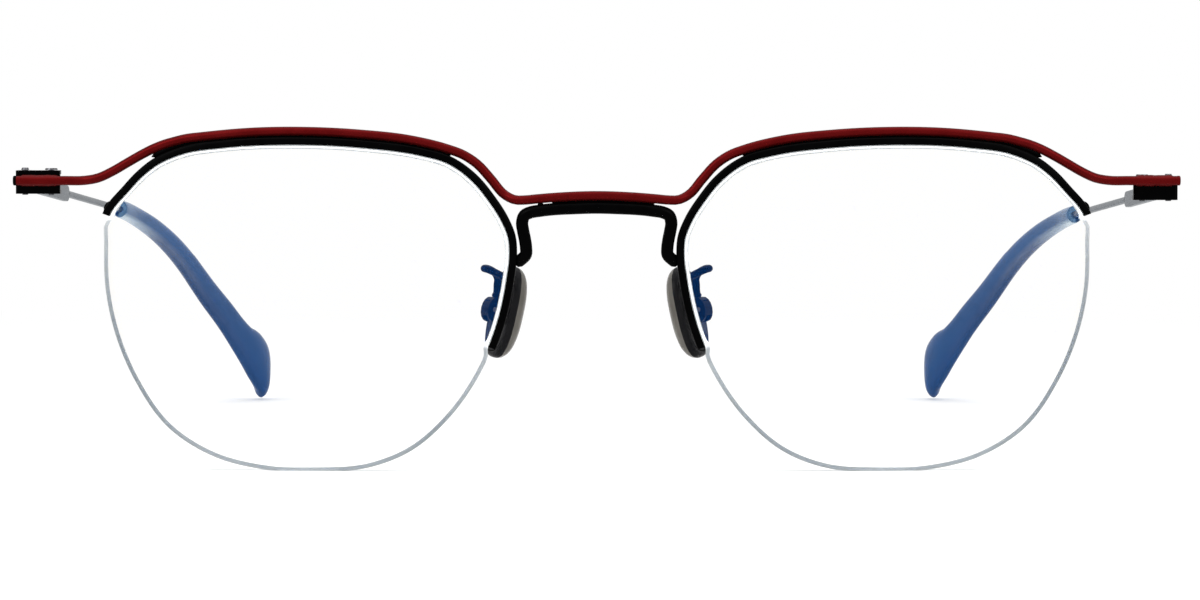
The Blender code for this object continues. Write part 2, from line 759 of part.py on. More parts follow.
def plain_screw(name, radius, head_radius, head_height):
    # Screw through both flanges, with its head on the upper one
    foot = -BLOCK_HEIGHT / 2 - SCREW_STAND_OUT
    top = BLOCK_HEIGHT / 2 + RUNNING_GAP
    head_top = top + head_height
    crown = head_height / 2
    profile = [(0.0, head_top), (head_radius - crown, head_top), (head_radius, head_top - crown),
               (head_radius, top), (radius, top), (radius, foot), (0.0, foot)]
    return turned(name, profile, ROUND_SEGMENTS, parts, steel)


def hinge_screw(name, side):
    screw = plain_screw(name, SCREW_RADIUS, SCREW_HEAD_RADIUS, SCREW_HEAD_HEIGHT)
    screw.location = hinge_place(side)
    return screw


def hinge_stop(name, side):
    stop = plain_screw(name, STOP_RADIUS, STOP_HEAD_RADIUS, STOP_HEAD_HEIGHT)
    stop.location = hinge_place(side) + Vector((-side * STOP_DISTANCE, -STOP_FORWARD, 0.0))
    return stop


# Temples, built from the hinge axis

def temple_line(side):
    # Centreline from the hinge axis through the straight shaft and round the tip
    shaft = Vector((-side * math.sin(SHAFT_IN_ANGLE), math.cos(SHAFT_IN_ANGLE), -math.tan(SHAFT_DOWN_ANGLE)))
    shaft = shaft.normalized() * SHAFT_LENGTH
    drop = hinge_place(side).z + shaft.z - TIP_END_HEIGHT
    knots = [shaft]
    for back, inward, down in TIP_PATH_SHARES:
        knots.append(shaft + Vector((-side * inward * TIP_IN, back * TIP_REACH, -down * drop)))
    lead = [shaft * (1 - 2 * NECK_LENGTH / SHAFT_LENGTH)]
    curve = smooth(lead + knots, SPAN_STEPS)
    return [Vector((0.0, 0.0, 0.0))] + curve


def ring_at(line, lengths, distance, section):
    # Section laid square to the line: first coordinate across, second upwards
    step = WIRE_RADIUS
    here = point_along(line, lengths, distance)
    ahead = point_along(line, lengths, distance + step)
    behind = point_along(line, lengths, distance - step)
    run = (ahead - behind).normalized()
    across = run.cross(Vector((0.0, 0.0, 1.0))).normalized()
    up = across.cross(run)
    return [here + across * a + up * b for a, b in section]


def rounded_section(half_across, half_up, corner):
    # Twelve points round a rectangle with rounded corners, or round a circle
    points = []
    for quarter in range(4):
        sign_a = 1 if quarter in (0, 3) else -1
        sign_b = 1 if quarter in (0, 1) else -1
        for share in (1 / 6, 1 / 2, 5 / 6):
            turn = (quarter + share) * math.pi / 2
            a = sign_a * (half_across - corner) + corner * math.cos(turn)
            b = sign_b * (half_up - corner) + corner * math.sin(turn)
            points.append((a, b))
    return points


def leaf_section(height):
    return rounded_section(LEAF_THICKNESS / 2, height / 2, LEAF_CORNER)


def temple(name, side):
    # Eye, flat leaf, round wire and the core inside the tip, as one piece of metal
    line = temple_line(side)
    lengths = lengths_along(line)
    total = lengths[-1]
    core_end = SHAFT_LENGTH + (total - SHAFT_LENGTH) * CORE_SHARE
    wire_section = rounded_section(WIRE_RADIUS, WIRE_RADIUS, WIRE_RADIUS)
    rings = [
        ring_at(line, lengths, SCREW_RADIUS / 2, leaf_section(NECK_HEIGHT)),
        ring_at(line, lengths, NECK_LENGTH, leaf_section(NECK_HEIGHT)),
        ring_at(line, lengths, NECK_LENGTH + NECK_STEP, leaf_section(LEAF_HEIGHT)),
        ring_at(line, lengths, LEAF_LENGTH - LEAF_HEIGHT / 2, leaf_section(LEAF_HEIGHT)),
    ]
    for share in LEAF_END_SHARES:
        height = LEAF_HEIGHT * math.sqrt(1 - share ** 2)
        place = LEAF_LENGTH - LEAF_HEIGHT / 2 * (1 - share)
        rings.append(ring_at(line, lengths, place, leaf_section(height)))
    rings.append(ring_at(line, lengths, LEAF_LENGTH, wire_section))
    for index in range(1, SHAFT_STATIONS + 1):
        place = LEAF_LENGTH + (SHAFT_LENGTH - LEAF_LENGTH) * index / SHAFT_STATIONS
        rings.append(ring_at(line, lengths, place, wire_section))
    for index in range(1, CORE_STATIONS + 1):
        place = SHAFT_LENGTH + (core_end - SHAFT_LENGTH) * index / CORE_STATIONS
        rings.append(ring_at(line, lengths, place, wire_section))
    body = loft(name, rings, parts, silver_metal)
    half = slot_height / 2 - SEAT_GAP
    eye = rod(name + "_eye", EYE_RADIUS, -half, half, cutters)
    past = half + CUT_OVERRUN
    bore = rod(name + "_bore", SCREW_RADIUS + RUNNING_GAP, -past, past, cutters)
    cut(body, eye, 'UNION')
    cut(body, bore)
    return body, (eye, bore)


def tip_section(width_share, up_share, down_share):
    points = []
    for index in range(TIP_SIDES):
        turn = 2 * math.pi * index / TIP_SIDES
        rise = up_share if math.sin(turn) > 0 else down_share
        points.append((width_share * TIP_WIDTH / 2 * math.cos(turn), rise * TIP_HEIGHT * math.sin(turn)))
    return points


def temple_tip(name, side):
    line = temple_line(side)
    lengths = lengths_along(line)
    length = lengths[-1] - SHAFT_LENGTH
    rings = []
    for along, width_share, up_share, down_share in TIP_SECTION_SHARES:
        section = tip_section(width_share, up_share, down_share)
        rings.append(ring_at(line, lengths, SHAFT_LENGTH + along * length, section))
    tip = loft(name, rings, parts, slate_acetate)
    bore_end = SHAFT_LENGTH + length * CORE_SHARE + SEAT_GAP
    bore_start = SHAFT_LENGTH - CUT_OVERRUN
    section = rounded_section(*[WIRE_RADIUS + SEAT_GAP] * 3)
    rings = [ring_at(line, lengths, bore_start, section), ring_at(line, lengths, SHAFT_LENGTH, section)]
    for index in range(1, CORE_STATIONS + 1):
        place = SHAFT_LENGTH + (bore_end - SHAFT_LENGTH) * index / CORE_STATIONS
        rings.append(ring_at(line, lengths, place, section))
    bore = loft(name + "_bore", rings, cutters)
    cut(tip, bore)
    return tip, (bore,)


# Nose pads: local X points away from the nose, Y along the pad screw, Z up the pad

def pad_frame(side):
    base = -PAD_SPLAY if side == LEFT else math.pi + PAD_SPLAY
    turn = Matrix.Rotation(base, 4, 'Z') @ Matrix.Rotation(-PAD_TILT, 4, 'Y')
    return Matrix.Translation((side * PAD_PIVOT_X, PAD_PIVOT_Y, PAD_PIVOT_Z)) @ turn


insert_length = PAD_LENGTH - 2 * INSERT_RIM
insert_width = insert_length * PAD_WIDTH / PAD_LENGTH


def oval(piece, length, width):
    # A turned body of radius 1 laid on its side: its height becomes -X, towards the nose,
    # and its round becomes a full oval
    def full(p):
        spread = (abs(p.x) ** PAD_FULLNESS + abs(p.y) ** PAD_FULLNESS) ** (1 / PAD_FULLNESS)
        grow = math.hypot(p.x, p.y) / spread if spread > 0 else 0.0
        return Vector((-PAD_STANDOFF - p.z, p.y * grow * width / 2, p.x * grow * length / 2))

    return mapped(piece, full)


def nose_pad(name, side):
    recess = (insert_length / 2 + SEAT_GAP) / (PAD_LENGTH / 2)
    depth = INSERT_DEPTH + SEAT_GAP
    profile = [(0.0, PAD_THICKNESS)]
    profile += [(r, h * PAD_THICKNESS) for r, h in PAD_FACE_SHARES]
    profile += [(recess, 0.0), (recess, depth), (0.0, depth)]
    pad = oval(turned(name, profile, PAD_STEPS, parts, smoke_silicone), PAD_LENGTH, PAD_WIDTH)
    pad.matrix_world = pad_frame(side)
    return pad


def pad_insert(name, side):
    profile = [(0.0, INSERT_DEPTH), (1.0, INSERT_DEPTH), (1.0, 0.0), (0.0, 0.0)]
    plate = oval(turned(name, profile, PAD_STEPS, parts, black_plastic), insert_length, insert_width)
    flat = Matrix.Rotation(math.pi / 2, 4, 'X')
    tab_back = -PAD_STANDOFF - INSERT_DEPTH / 2
    tab = rod(name + "_tab", TAB_RADIUS, -TAB_WIDTH / 2, TAB_WIDTH / 2, cutters, turn=flat)
    neck = box(name + "_neck", (tab_back, -TAB_WIDTH / 2, -TAB_RADIUS),
               (0.0, TAB_WIDTH / 2, TAB_RADIUS), cutters)
    past = TAB_WIDTH / 2 + CUT_OVERRUN
    bore = rod(name + "_bore", PAD_SCREW_RADIUS + RUNNING_GAP, -past, past, cutters, turn=flat)
    cut(plate, neck, 'UNION')
    cut(plate, tab, 'UNION')
    cut(plate, bore)
    for cutter in (neck, tab, bore):
        cutter.parent = plate
    plate.matrix_world = pad_frame(side)
    return plate


def pad_box(name, side):
    # D-shaped box seen along the pad screw, slotted for the pad's tab
    outline = [(-BOX_FRONT, -BOX_HEIGHT / 2), (0.0, -BOX_HEIGHT / 2)]
    for step in range(1, BOX_STEPS):
        turn = math.pi * step / BOX_STEPS - math.pi / 2
        outline.append((BOX_BACK * math.cos(turn), BOX_HEIGHT / 2 * math.sin(turn)))
    outline += [(0.0, BOX_HEIGHT / 2), (-BOX_FRONT, BOX_HEIGHT / 2)]
    shell = prism(name, outline, BOX_WIDTH, parts, black_enamel)
    stand = Matrix.Rotation(math.pi / 2, 4, 'X')
    mapped(shell, lambda p: stand @ p)
    slot = box(name + "_slot", (-BOX_FRONT - CUT_OVERRUN, -TAB_WIDTH / 2 - SEAT_GAP, -BOX_HEIGHT),
               (TAB_RADIUS + SEAT_GAP, TAB_WIDTH / 2 + SEAT_GAP, BOX_HEIGHT / 2 - BOX_CAP), cutters)
    past = BOX_WIDTH / 2 + CUT_OVERRUN
    bore = rod(name + "_bore", PAD_SCREW_RADIUS + RUNNING_GAP, -past, past, cutters, turn=stand)
    for cutter in (slot, bore):
        cut(shell, cutter)
        cutter.parent = shell
    shell.matrix_world = pad_frame(side)
    return shell


def pad_screw(name, side):
    head = BOX_WIDTH / 2 + RUNNING_GAP
    top = head + PAD_SCREW_HEAD_HEIGHT
    foot = -BOX_WIDTH / 2
    profile = [(0.0, top), (PAD_SCREW_HEAD_RADIUS, top), (PAD_SCREW_HEAD_RADIUS, head),
               (PAD_SCREW_RADIUS, head), (PAD_SCREW_RADIUS, foot), (0.0, foot)]
    screw = turned(name, profile, ROUND_SEGMENTS, parts, steel)
    # The head faces the wearer on both sides
    mapped(screw, lambda p: Vector((p.x, side * p.z, p.y)))
    screw.matrix_world = pad_frame(side)
    return screw


def pad_arm(name, side):
    # Wire from the back of the rim, round a loop behind the lens and down to the pad box
    place = pad_frame(LEFT)
    top = place @ Vector((-BOX_FRONT / 4, 0.0, BOX_HEIGHT / 2 + ARM_GAP))
    lead = place @ Vector((-BOX_FRONT / 4, 0.0, BOX_HEIGHT / 2 + ARM_GAP + ARM_LEAD))
    foot = loop_point(loop_distance(top.z + BOX_HEIGHT / 2 - lens_z, True))
    start = front_point(LEFT, foot, mid_depth + RIM_DEPTH / 2 + ARM_GAP)
    run = top.y - start.y
    rise = start.z - top.z
    inward = top.x - start.x
    points = [start, start + Vector((0.0, ARM_LEAD, 0.0))]
    for share_in, share_back, share_up in ARM_SHARES:
        points.append(Vector((top.x - share_in * inward, top.y + share_back * run, top.z + share_up * rise)))
    points += [lead, top]
    path = [Vector((side * p.x, p.y, p.z)) for p in evenly(smooth(points, SPAN_STEPS), ARM_POINTS)]
    return wire(name, path, ARM_RADIUS, parts, black_enamel)


# Assembly

def joint_empty(name, place):
    pivot = bpy.data.objects.new(name, None)
    parts.objects.link(pivot)
    pivot.matrix_world = place
    pivot.parent = frame_root
    return pivot


fixed = [brow_bar("brow_bar"), bridge("bridge")]
for side_name, side in SIDES.items():
    fixed.append(lens("lens_" + side_name, side))
    fixed.append(rim("rim_" + side_name, side))
    fixed.append(rim_liner("rim_liner_" + side_name, side))
    fixed.append(nylon_cord("nylon_cord_" + side_name, side))
    fixed.append(hinge_block("hinge_block_" + side_name, side))
    fixed.append(hinge_screw("hinge_screw_" + side_name, side))
    fixed.append(hinge_stop("hinge_stop_" + side_name, side))
    fixed.append(pad_box("pad_box_" + side_name, side))
    fixed.append(pad_screw("pad_screw_" + side_name, side))
    fixed.append(pad_arm("pad_arm_" + side_name, side))

    # Temple pieces are made about the hinge axis and hang on an empty there
    fold = joint_empty("temple_fold_" + side_name, Matrix.Translation(hinge_place(side)))
    arm, arm_cutters = temple("temple_" + side_name, side)
    cover, cover_cutters = temple_tip("temple_tip_" + side_name, side)
    for piece in (arm, cover, *arm_cutters, *cover_cutters):
        piece.parent = fold

    # Pad pieces are made about the pad screw and hang on an empty there
    rock = joint_empty("pad_rock_" + side_name, pad_frame(side))
    for piece in (nose_pad("nose_pad_" + side_name, side), pad_insert("pad_insert_" + side_name, side)):
        piece.parent = rock
        piece.matrix_world = pad_frame(side)

for piece in fixed:
    piece.parent = frame_root
for piece in parts.objects:
    if piece.type == 'MESH':
        shade_round(piece)


def measured_box():
    # Lowest and highest corner of every finished piece
    bpy.context.view_layer.update()
    graph = bpy.context.evaluated_depsgraph_get()
    corners = []
    for piece in parts.objects:
        if piece.type == 'EMPTY':
            continue
        shape = bpy.data.meshes.new_from_object(piece.evaluated_get(graph))
        corners += [piece.matrix_world @ corner.co for corner in shape.vertices]
        bpy.data.meshes.remove(shape)
    low = Vector([min(c[axis] for c in corners) for axis in range(3)])
    high = Vector([max(c[axis] for c in corners) for axis in range(3)])
    return low, high


# The origin lies on the floor, under the middle of the whole frame
lowest, highest = measured_box()
frame_root.location = (-(lowest.x + highest.x) / 2, -(lowest.y + highest.y) / 2, -lowest.z)
bpy.context.view_layer.update()
print("size in mm", [round(length / MM, 2) for length in highest - lowest], "moved", frame_root.location / MM)
for empty in parts.objects:
    if empty.type == 'EMPTY':
        print(empty.name, [round(value / MM, 4) for value in empty.matrix_world.translation])
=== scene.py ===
import json
import math

import bmesh
import bpy
from mathutils import Matrix, Vector


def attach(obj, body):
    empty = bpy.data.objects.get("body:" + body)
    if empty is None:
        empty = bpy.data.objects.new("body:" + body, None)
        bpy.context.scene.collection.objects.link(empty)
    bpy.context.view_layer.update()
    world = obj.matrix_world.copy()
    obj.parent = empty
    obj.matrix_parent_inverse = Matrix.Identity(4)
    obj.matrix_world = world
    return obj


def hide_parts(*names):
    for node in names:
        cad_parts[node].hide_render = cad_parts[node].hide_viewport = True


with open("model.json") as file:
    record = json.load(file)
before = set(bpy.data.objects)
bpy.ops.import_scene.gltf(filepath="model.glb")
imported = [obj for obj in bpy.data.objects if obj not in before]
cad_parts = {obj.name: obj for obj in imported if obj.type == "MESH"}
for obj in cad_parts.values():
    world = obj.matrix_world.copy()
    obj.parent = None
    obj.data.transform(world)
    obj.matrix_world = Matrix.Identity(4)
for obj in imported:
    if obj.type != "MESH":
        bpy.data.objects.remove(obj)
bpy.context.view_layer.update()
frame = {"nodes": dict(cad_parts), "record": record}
nodes = frame["nodes"]
joints = {joint["name"]: joint for joint in frame["record"]["behaviour"]["joints"]}
print("frame loaded:", len(nodes), "nodes")

mm = 0.001
left, right = 1, -1  # the wearer's sides: left is +X
sides = {"left": left, "right": right}
up = Vector((0.0, 0.0, 1.0))


# Points and paths

def smoothThrough(points, steps=10, closed=False):
    # a curve through every point, weighted by the lengths of the spans
    count = len(points)
    result = []
    for index in range(count if closed else count - 1):
        start, end = points[index], points[(index + 1) % count]
        before = points[index - 1] if closed or index > 0 else start * 2 - end
        after = points[(index + 2) % count] if closed or index + 2 < count else end * 2 - start
        spanIn, span, spanOut = (start - before).length, (end - start).length, (after - end).length
        turnIn = (start - before) / spanIn - (end - before) / (spanIn + span)
        turnOut = (after - end) / spanOut - (after - start) / (span + spanOut)
        tangentIn = turnIn * span + (end - start)
        tangentOut = turnOut * span + (end - start)
        for step in range(steps):
            t = step / steps
            weight = 3 * t ** 2 - 2 * t ** 3
            point = start * (1 - weight) + end * weight
            result.append(point + tangentIn * (t ** 3 - 2 * t ** 2 + t) + tangentOut * (t ** 3 - t ** 2))
    if not closed:
        result.append(points[-1].copy())
    return result


def lengthsAlong(points, closed=False):
    total = [0.0]
    for index in range(1, len(points) + (1 if closed else 0)):
        total.append(total[-1] + (points[index % len(points)] - points[index - 1]).length)
    return total


def pointAlong(points, lengths, distance):
    distance = min(max(distance, 0.0), lengths[-1])
    index = 0
    while index < len(lengths) - 2 and lengths[index + 1] < distance:
        index += 1
    part = (distance - lengths[index]) / (lengths[index + 1] - lengths[index])
    return points[index].lerp(points[(index + 1) % len(points)], part)


def evenSteps(start, end, count):
    return [start + (end - start) * index / (count - 1) for index in range(count)]


def evenly(points, count):
    lengths = lengthsAlong(points)
    return [pointAlong(points, lengths, distance) for distance in evenSteps(0.0, lengths[-1], count)]


# The front: both lenses lie on shallow bowls, turned out a little

front = {
    "planeY": -68.1622 * mm,  # the foremost plane, in the frame
    "footRise": -0.12 * mm,
    "lensWidth": 49.0 * mm,
    "lensHeight": 39.3 * mm,
    "lensThickness": 2.0 * mm,
    "bridgeWidth": 19.8 * mm,
    "bowlRadius": 120.0 * mm,
    "wrapAngle": math.radians(4.0),
    "seatGap": 0.10 * mm,
    "outlineSteps": 12,  # points on each span of the outline
    # from the temple side over the top: shares of half the width and of half the height
    "outlineShares": [
        (0.991, 0.370), (0.985, 0.548), (0.884, 0.711), (0.816, 0.800), (0.744, 0.870),
        (0.610, 0.942), (0.404, 0.981), (0.062, 1.000), (-0.278, 0.981), (-0.549, 0.936),
        (-0.686, 0.888), (-0.822, 0.765), (-0.891, 0.660), (-0.962, 0.521), (-0.994, 0.419),
        (-1.000, 0.320), (-0.986, 0.163), (-0.936, -0.117), (-0.850, -0.378), (-0.693, -0.666),
        (-0.502, -0.873), (-0.308, -0.970), (-0.066, -1.000), (0.178, -0.992), (0.469, -0.904),
        (0.678, -0.738), (0.839, -0.458), (0.944, -0.140), (0.986, 0.126),
    ],
}
halfWidth, halfHeight = front["lensWidth"] / 2, front["lensHeight"] / 2
halfBridge = front["bridgeWidth"] / 2
lensX, lensZ = halfBridge + halfWidth, halfHeight + front["footRise"]
midDepth = front["lensThickness"] / 2


def flatAt(x, z):
    # a place on the lens, from shares of half its width and height
    return Vector((x * halfWidth, z * halfHeight))


outline = smoothThrough([flatAt(*shares) for shares in front["outlineShares"]],
                        front["outlineSteps"], closed=True)
outlineLengths = lengthsAlong(outline, closed=True)
outlineTotal = outlineLengths[-1]


def outlinePoint(distance, grow=0.0):
    here = pointAlong(outline, outlineLengths, distance % outlineTotal)
    ahead = pointAlong(outline, outlineLengths, (distance + midDepth) % outlineTotal)
    behind = pointAlong(outline, outlineLengths, (distance - midDepth) % outlineTotal)
    run = (ahead - behind).normalized()
    return here + Vector((run.y, -run.x)) * grow


def outlineWhere(test, share):
    # distance of the first place where a test on two neighbouring points holds
    for index in range(len(outline)):
        start, end = outline[index], outline[(index + 1) % len(outline)]
        if test(start, end):
            part = share(start, end)
            return outlineLengths[index] + part * (outlineLengths[index + 1] - outlineLengths[index])
    raise ValueError("the outline never gets there")


def outlineAtHeight(height, towardNose):
    return outlineWhere(
        lambda a, b: (a.x < 0) == towardNose and (a.y - height) * (b.y - height) <= 0 and a.y != b.y,
        lambda a, b: (height - a.y) / (b.y - a.y))


def outlineTop(across):
    return outlineWhere(lambda a, b: a.y > 0 and a.x >= across > b.x,
                        lambda a, b: (across - a.x) / (b.x - a.x))


def bowlDepth(flat):
    return flat.length_squared / (2 * front["bowlRadius"]) + math.tan(front["wrapAngle"]) * flat.x


def frontPoint(side, flat, depth):
    return Vector((side * (lensX + flat.x), front["planeY"] + bowlDepth(flat) + depth, lensZ + flat.y))


# Meshes

creases = {
    # faces that meet at more than this many degrees keep a hard edge
    "usual": 40.0,
    "lens": 30.0,
    "flatEnds": 35.0,
    "screw": 25.0,
}


def finishMesh(shape, name, crease):
    bmesh.ops.recalc_face_normals(shape, faces=shape.faces)
    if shape.calc_volume(signed=True) < 0:
        bmesh.ops.reverse_faces(shape, faces=shape.faces)
    mesh = bpy.data.meshes.new(name)
    shape.to_mesh(mesh)
    shape.free()
    mesh.shade_smooth()
    mesh.set_sharp_from_angle(angle=math.radians(creases[crease]))
    piece = bpy.data.objects.new(name, mesh)
    bpy.context.scene.collection.objects.link(piece)
    return piece


def loft(name, rings):
    # a closed body through rings of one size, with its length and turn kept as a UV map
    shape = bmesh.new()
    uv = shape.loops.layers.uv.new("UVMap")
    rows = [[shape.verts.new(place) for place in ring] for ring in rings]
    count = len(rows[0])
    middles = [sum(ring, Vector()) / count for ring in rings]
    along = lengthsAlong(middles)
    for row in range(len(rows) - 1):
        for index in range(count):
            after = (index + 1) % count
            face = shape.faces.new((rows[row][index], rows[row][after],
                                    rows[row + 1][after], rows[row + 1][index]))
            spots = ((row, index), (row, index + 1), (row + 1, index + 1), (row + 1, index))
            for loop, (r, i) in zip(face.loops, spots):
                loop[uv].uv = (along[r] / along[-1], i / count)
    for row, middle, share in ((rows[0], middles[0], 0.0), (rows[-1], middles[-1], 1.0)):
        pole = shape.verts.new(middle)
        for index in range(count):
            face = shape.faces.new((row[index], row[(index + 1) % count], pole))
            for loop in face.loops:
                loop[uv].uv = (share, index / count)
    return finishMesh(shape, name, "usual")


def turned(name, profile, place, segments, closedProfile=False):
    # a profile of (radius, height) turned about local Z and set in place
    shape = bmesh.new()
    rows = []
    for radius, height in profile:
        if radius == 0:
            rows.append([shape.verts.new((0.0, 0.0, height))] * segments)
        else:
            turns = [2 * math.pi * index / segments for index in range(segments)]
            spots = [(radius * math.cos(turn), radius * math.sin(turn), height) for turn in turns]
            rows.append([shape.verts.new(spot) for spot in spots])
    pairs = list(zip(rows, rows[1:]))
    if closedProfile:
        pairs.append((rows[-1], rows[0]))
    for row, following in pairs:
        for index in range(segments):
            after = (index + 1) % segments
            corners = [row[index], row[after], following[after], following[index]]
            corners = [c for n, c in enumerate(corners) if c not in corners[:n]]
            shape.faces.new(corners)
    bmesh.ops.transform(shape, matrix=place, verts=shape.verts)
    return finishMesh(shape, name, "usual")


# Node trees

class Signal:
    # a node's output, so that sums can be written as Python expressions
    def __init__(self, maker, socket):
        self.maker, self.socket = maker, socket

    def __add__(self, other):
        return self.maker.math("ADD", self, other)

    def __radd__(self, other):
        return self.maker.math("ADD", other, self)

    def __sub__(self, other):
        return self.maker.math("SUBTRACT", self, other)

    def __rsub__(self, other):
        return self.maker.math("SUBTRACT", other, self)

    def __mul__(self, other):
        return self.maker.math("MULTIPLY", self, other)

    def __rmul__(self, other):
        return self.maker.math("MULTIPLY", other, self)

    def __truediv__(self, other):
        return self.maker.math("DIVIDE", self, other)

    def __rtruediv__(self, other):
        return self.maker.math("DIVIDE", other, self)


class Maker:
    # adds nodes to one tree
    def __init__(self, tree):
        self.tree = tree
        tree.nodes.clear()

    def node(self, kind, settings=None, sockets=None, output=0):
        made = self.tree.nodes.new(kind)
        for name, value in (settings or {}).items():
            if name == "stops":
                while len(made.color_ramp.elements) < len(value):
                    made.color_ramp.elements.new(1.0)
                for element, (position, colour) in zip(made.color_ramp.elements, value):
                    element.position, element.color = position, colour
            else:
                setattr(made, name, value)
        for name, value in (sockets or {}).items():
            if isinstance(value, Signal):
                self.tree.links.new(value.socket, made.inputs[name])
            else:
                made.inputs[name].default_value = value
        return Signal(self, made.outputs[output]) if made.outputs else None

    def math(self, operation, first, second, clamp=False):
        settings = {"operation": operation, "use_clamp": clamp}
        return self.node("ShaderNodeMath", settings, {0: first, 1: second})

    def clamp(self, value):
        return self.math("ADD", value, 0.0, clamp=True)

    def around(self, middle, spread, pattern):
        # a value that a pattern of 0 to 1 moves to both sides of its middle
        return self.clamp(middle + (pattern - 0.5) * spread)

    def climb(self, value, steepness, offset):
        return self.clamp(value * steepness - offset)

    def mix(self, factor, first, second):
        return self.node("ShaderNodeMix", {"data_type": "RGBA"}, {0: factor, 6: first, 7: second}, output=2)

    def place(self, stretch=None):
        spot = self.node("ShaderNodeTexCoord", output=3)
        if stretch is None:
            return spot
        return self.node("ShaderNodeMapping", sockets={"Vector": spot, "Scale": stretch})

    def noise(self, vector, size, detail=3.0):
        # size is the width of one grain in metres
        sockets = {"Vector": vector, "Scale": 1 / size, "Detail": detail}
        return self.node("ShaderNodeTexNoise", sockets=sockets)

    def bump(self, height, rise, strength):
        sockets = {"Height": height, "Distance": rise, "Strength": strength}
        return self.node("ShaderNodeBump", sockets=sockets)

    def principled(self, **sockets):
        named = {key.replace("_", " "): value for key, value in sockets.items()}
        return self.node("ShaderNodeBsdfPrincipled", sockets=named)


def newFinish(name, build):
    material = bpy.data.materials.new(name)
    material.use_nodes = True
    maker = Maker(material.node_tree)
    maker.node("ShaderNodeOutputMaterial", sockets={"Surface": build(maker)})
    return material


# Finishes
# roughness is a middle and a spread, bump a rise and a strength, and run stretches a pattern
# clouding, flaking, rubbing and graining are how far a pattern moves the tone
# gloss is the level of the clear reflection, and film the tint of light that passes through

redEnamelLook = {
    "deep": (0.072, 0.0026, 0.0028, 1),
    "bright": (0.104, 0.0046, 0.0050, 1),
    "edge": (0.02, 0.0, 0.0, 1),
    "metal": 0.38,
    "roughness": (0.34, 0.16),
    "gloss": 0.1,
    "bump": (0.006 * mm, 0.5),
    "peel": 0.22 * mm,
    "cloud": 2.4 * mm,
    "clouding": 1.5,
    "flaking": 0.6,
}
blackEnamelLook = {
    "dark": (0.0003, 0.0003, 0.0004, 1),
    "light": (0.0010, 0.0010, 0.0011, 1),
    "roughness": (0.26, 0.2),
    "gloss": 0.012,
    "bump": (0.005 * mm, 0.5),
    "peel": 0.25 * mm,
    "rub": 2.25 * mm,
    "rubbing": 1.6,
}
templeLook = {
    "dark": (0.072, 0.077, 0.084, 1),
    "light": (0.150, 0.160, 0.173, 1),
    "edge": (0.78, 0.80, 0.82, 1),
    "roughness": (0.30, 0.25),
    "bump": (0.004 * mm, 0.6),
    "grain": 0.10 * mm,
    "run": (1.0, 0.04, 1.0),
    "cloud": 3.0 * mm,
    "clouding": 0.8,
    "graining": 0.5,
}
screwLook = {
    "dark": (0.05, 0.05, 0.055, 1),
    "light": (0.14, 0.14, 0.15, 1),
    "roughness": (0.32, 0.3),
    "bump": (0.003 * mm, 0.6),
    "grain": 0.08 * mm,
    "run": (1.0, 1.0, 0.3),
}
lensLook = {
    "coatTint": (0.02, 0.24, 1.0, 1),
    "coatLevel": 1.0,
    "roughness": (0.0, 0.01),
    "index": 1.5,
    "bump": (0.0004 * mm, 0.2),
    "waver": 3.0 * mm,
    "film": (0.97, 0.97, 0.96, 1),
}
edgeLook = {
    # painted light and shade: bright where the edge is lit, a shaded grey where it is in shade, and a painted
    # glow
    "bright": (0.94, 0.95, 0.95, 1),
    "paintedShade": (0.31, 0.337, 0.352, 1),
    "paintedGlow": 0.45,
    "roughness": 0.55,
    "clear": 0.35,
    "bump": (0.004 * mm, 0.5),
    "grain": 0.12 * mm,
    "graining": 0.15,
    "film": (0.75, 0.77, 0.78, 1),
}
nylonLook = {
    "deep": (0.66, 0.69, 0.70, 1),
    "pale": (0.84, 0.87, 0.88, 1),
    "roughness": 0.28,
    "clear": 0.5,
    "index": 1.5,
    "bump": (0.003 * mm, 0.4),
    "grain": 0.4 * mm,
    "film": (0.8, 0.8, 0.8, 1),
}
tipLook = {
    # share of the tip's length, tone of its sides
    "sides": [(0.0, (0.080, 0.138, 0.225, 1)), (0.16, (0.066, 0.110, 0.195, 1)),
              (0.34, (0.036, 0.080, 0.180, 1)), (0.62, (0.034, 0.068, 0.150, 1)),
              (1.0, (0.016, 0.048, 0.118, 1))],
    # painted light: a paler tone on its underside, as if light from the floor came through
    "under": [(0.0, (0.44, 0.54, 0.61, 1)), (0.14, (0.34, 0.41, 0.48, 1)), (0.30, (0.12, 0.145, 0.20, 1)),
              (0.60, (0.042, 0.064, 0.125, 1)), (1.0, (0.014, 0.044, 0.12, 1))],
    "underLightClimb": (2.6, 1.2),  # steepness and offset of the change to the painted light on the underside
    # the streak colour also gives the painted shade along the edges
    "streak": (0.014, 0.036, 0.085, 1),
    "streakClimb": (3.0, 1.5),
    "streaking": 0.45,
    "edgeShadeClimb": (6.0, 5.04),  # of the painted shade lines along the upper and the lower edge
    "lowEdgeShadeClimb": (5.0, 1.2),  # of where the lower painted shade line comes in along the tip
    "edgeShading": 0.6,
    # painted shade on the cut face at the mouth, pale going to near black
    "mouthShades": [(0.30, (0.10, 0.18, 0.28, 1)), (0.42, (0.008, 0.022, 0.055, 1))],
    "mouthTurn": 0.90,
    "mouthReach": 0.004,  # share of the length that the cut face takes
    "sway": 0.10,
    "swirl": 5.0 * mm,
    "swirlRun": (1.0, 0.25, 1.0),
    "streakRun": (1.0, 0.12, 1.0),
    "roughness": (0.16, 0.08),
    "clear": 0.05,
    "index": 1.46,
    "gloss": 0.015,
    "bump": (0.02 * mm, 0.2),
    "film": (0.45, 0.50, 0.56, 1),
}
padLook = {
    "pale": (0.25, 0.235, 0.21, 1),
    "deep": (0.15, 0.14, 0.122, 1),
    "roughness": (0.20, 0.12),
    "clear": 0.45,
    "index": 1.42,
    "gloss": 0.15,
    "bump": (0.004 * mm, 0.5),
    "cloud": 1.6 * mm,
    "grain": 0.15 * mm,
    "film": (0.55, 0.52, 0.47, 1),
}
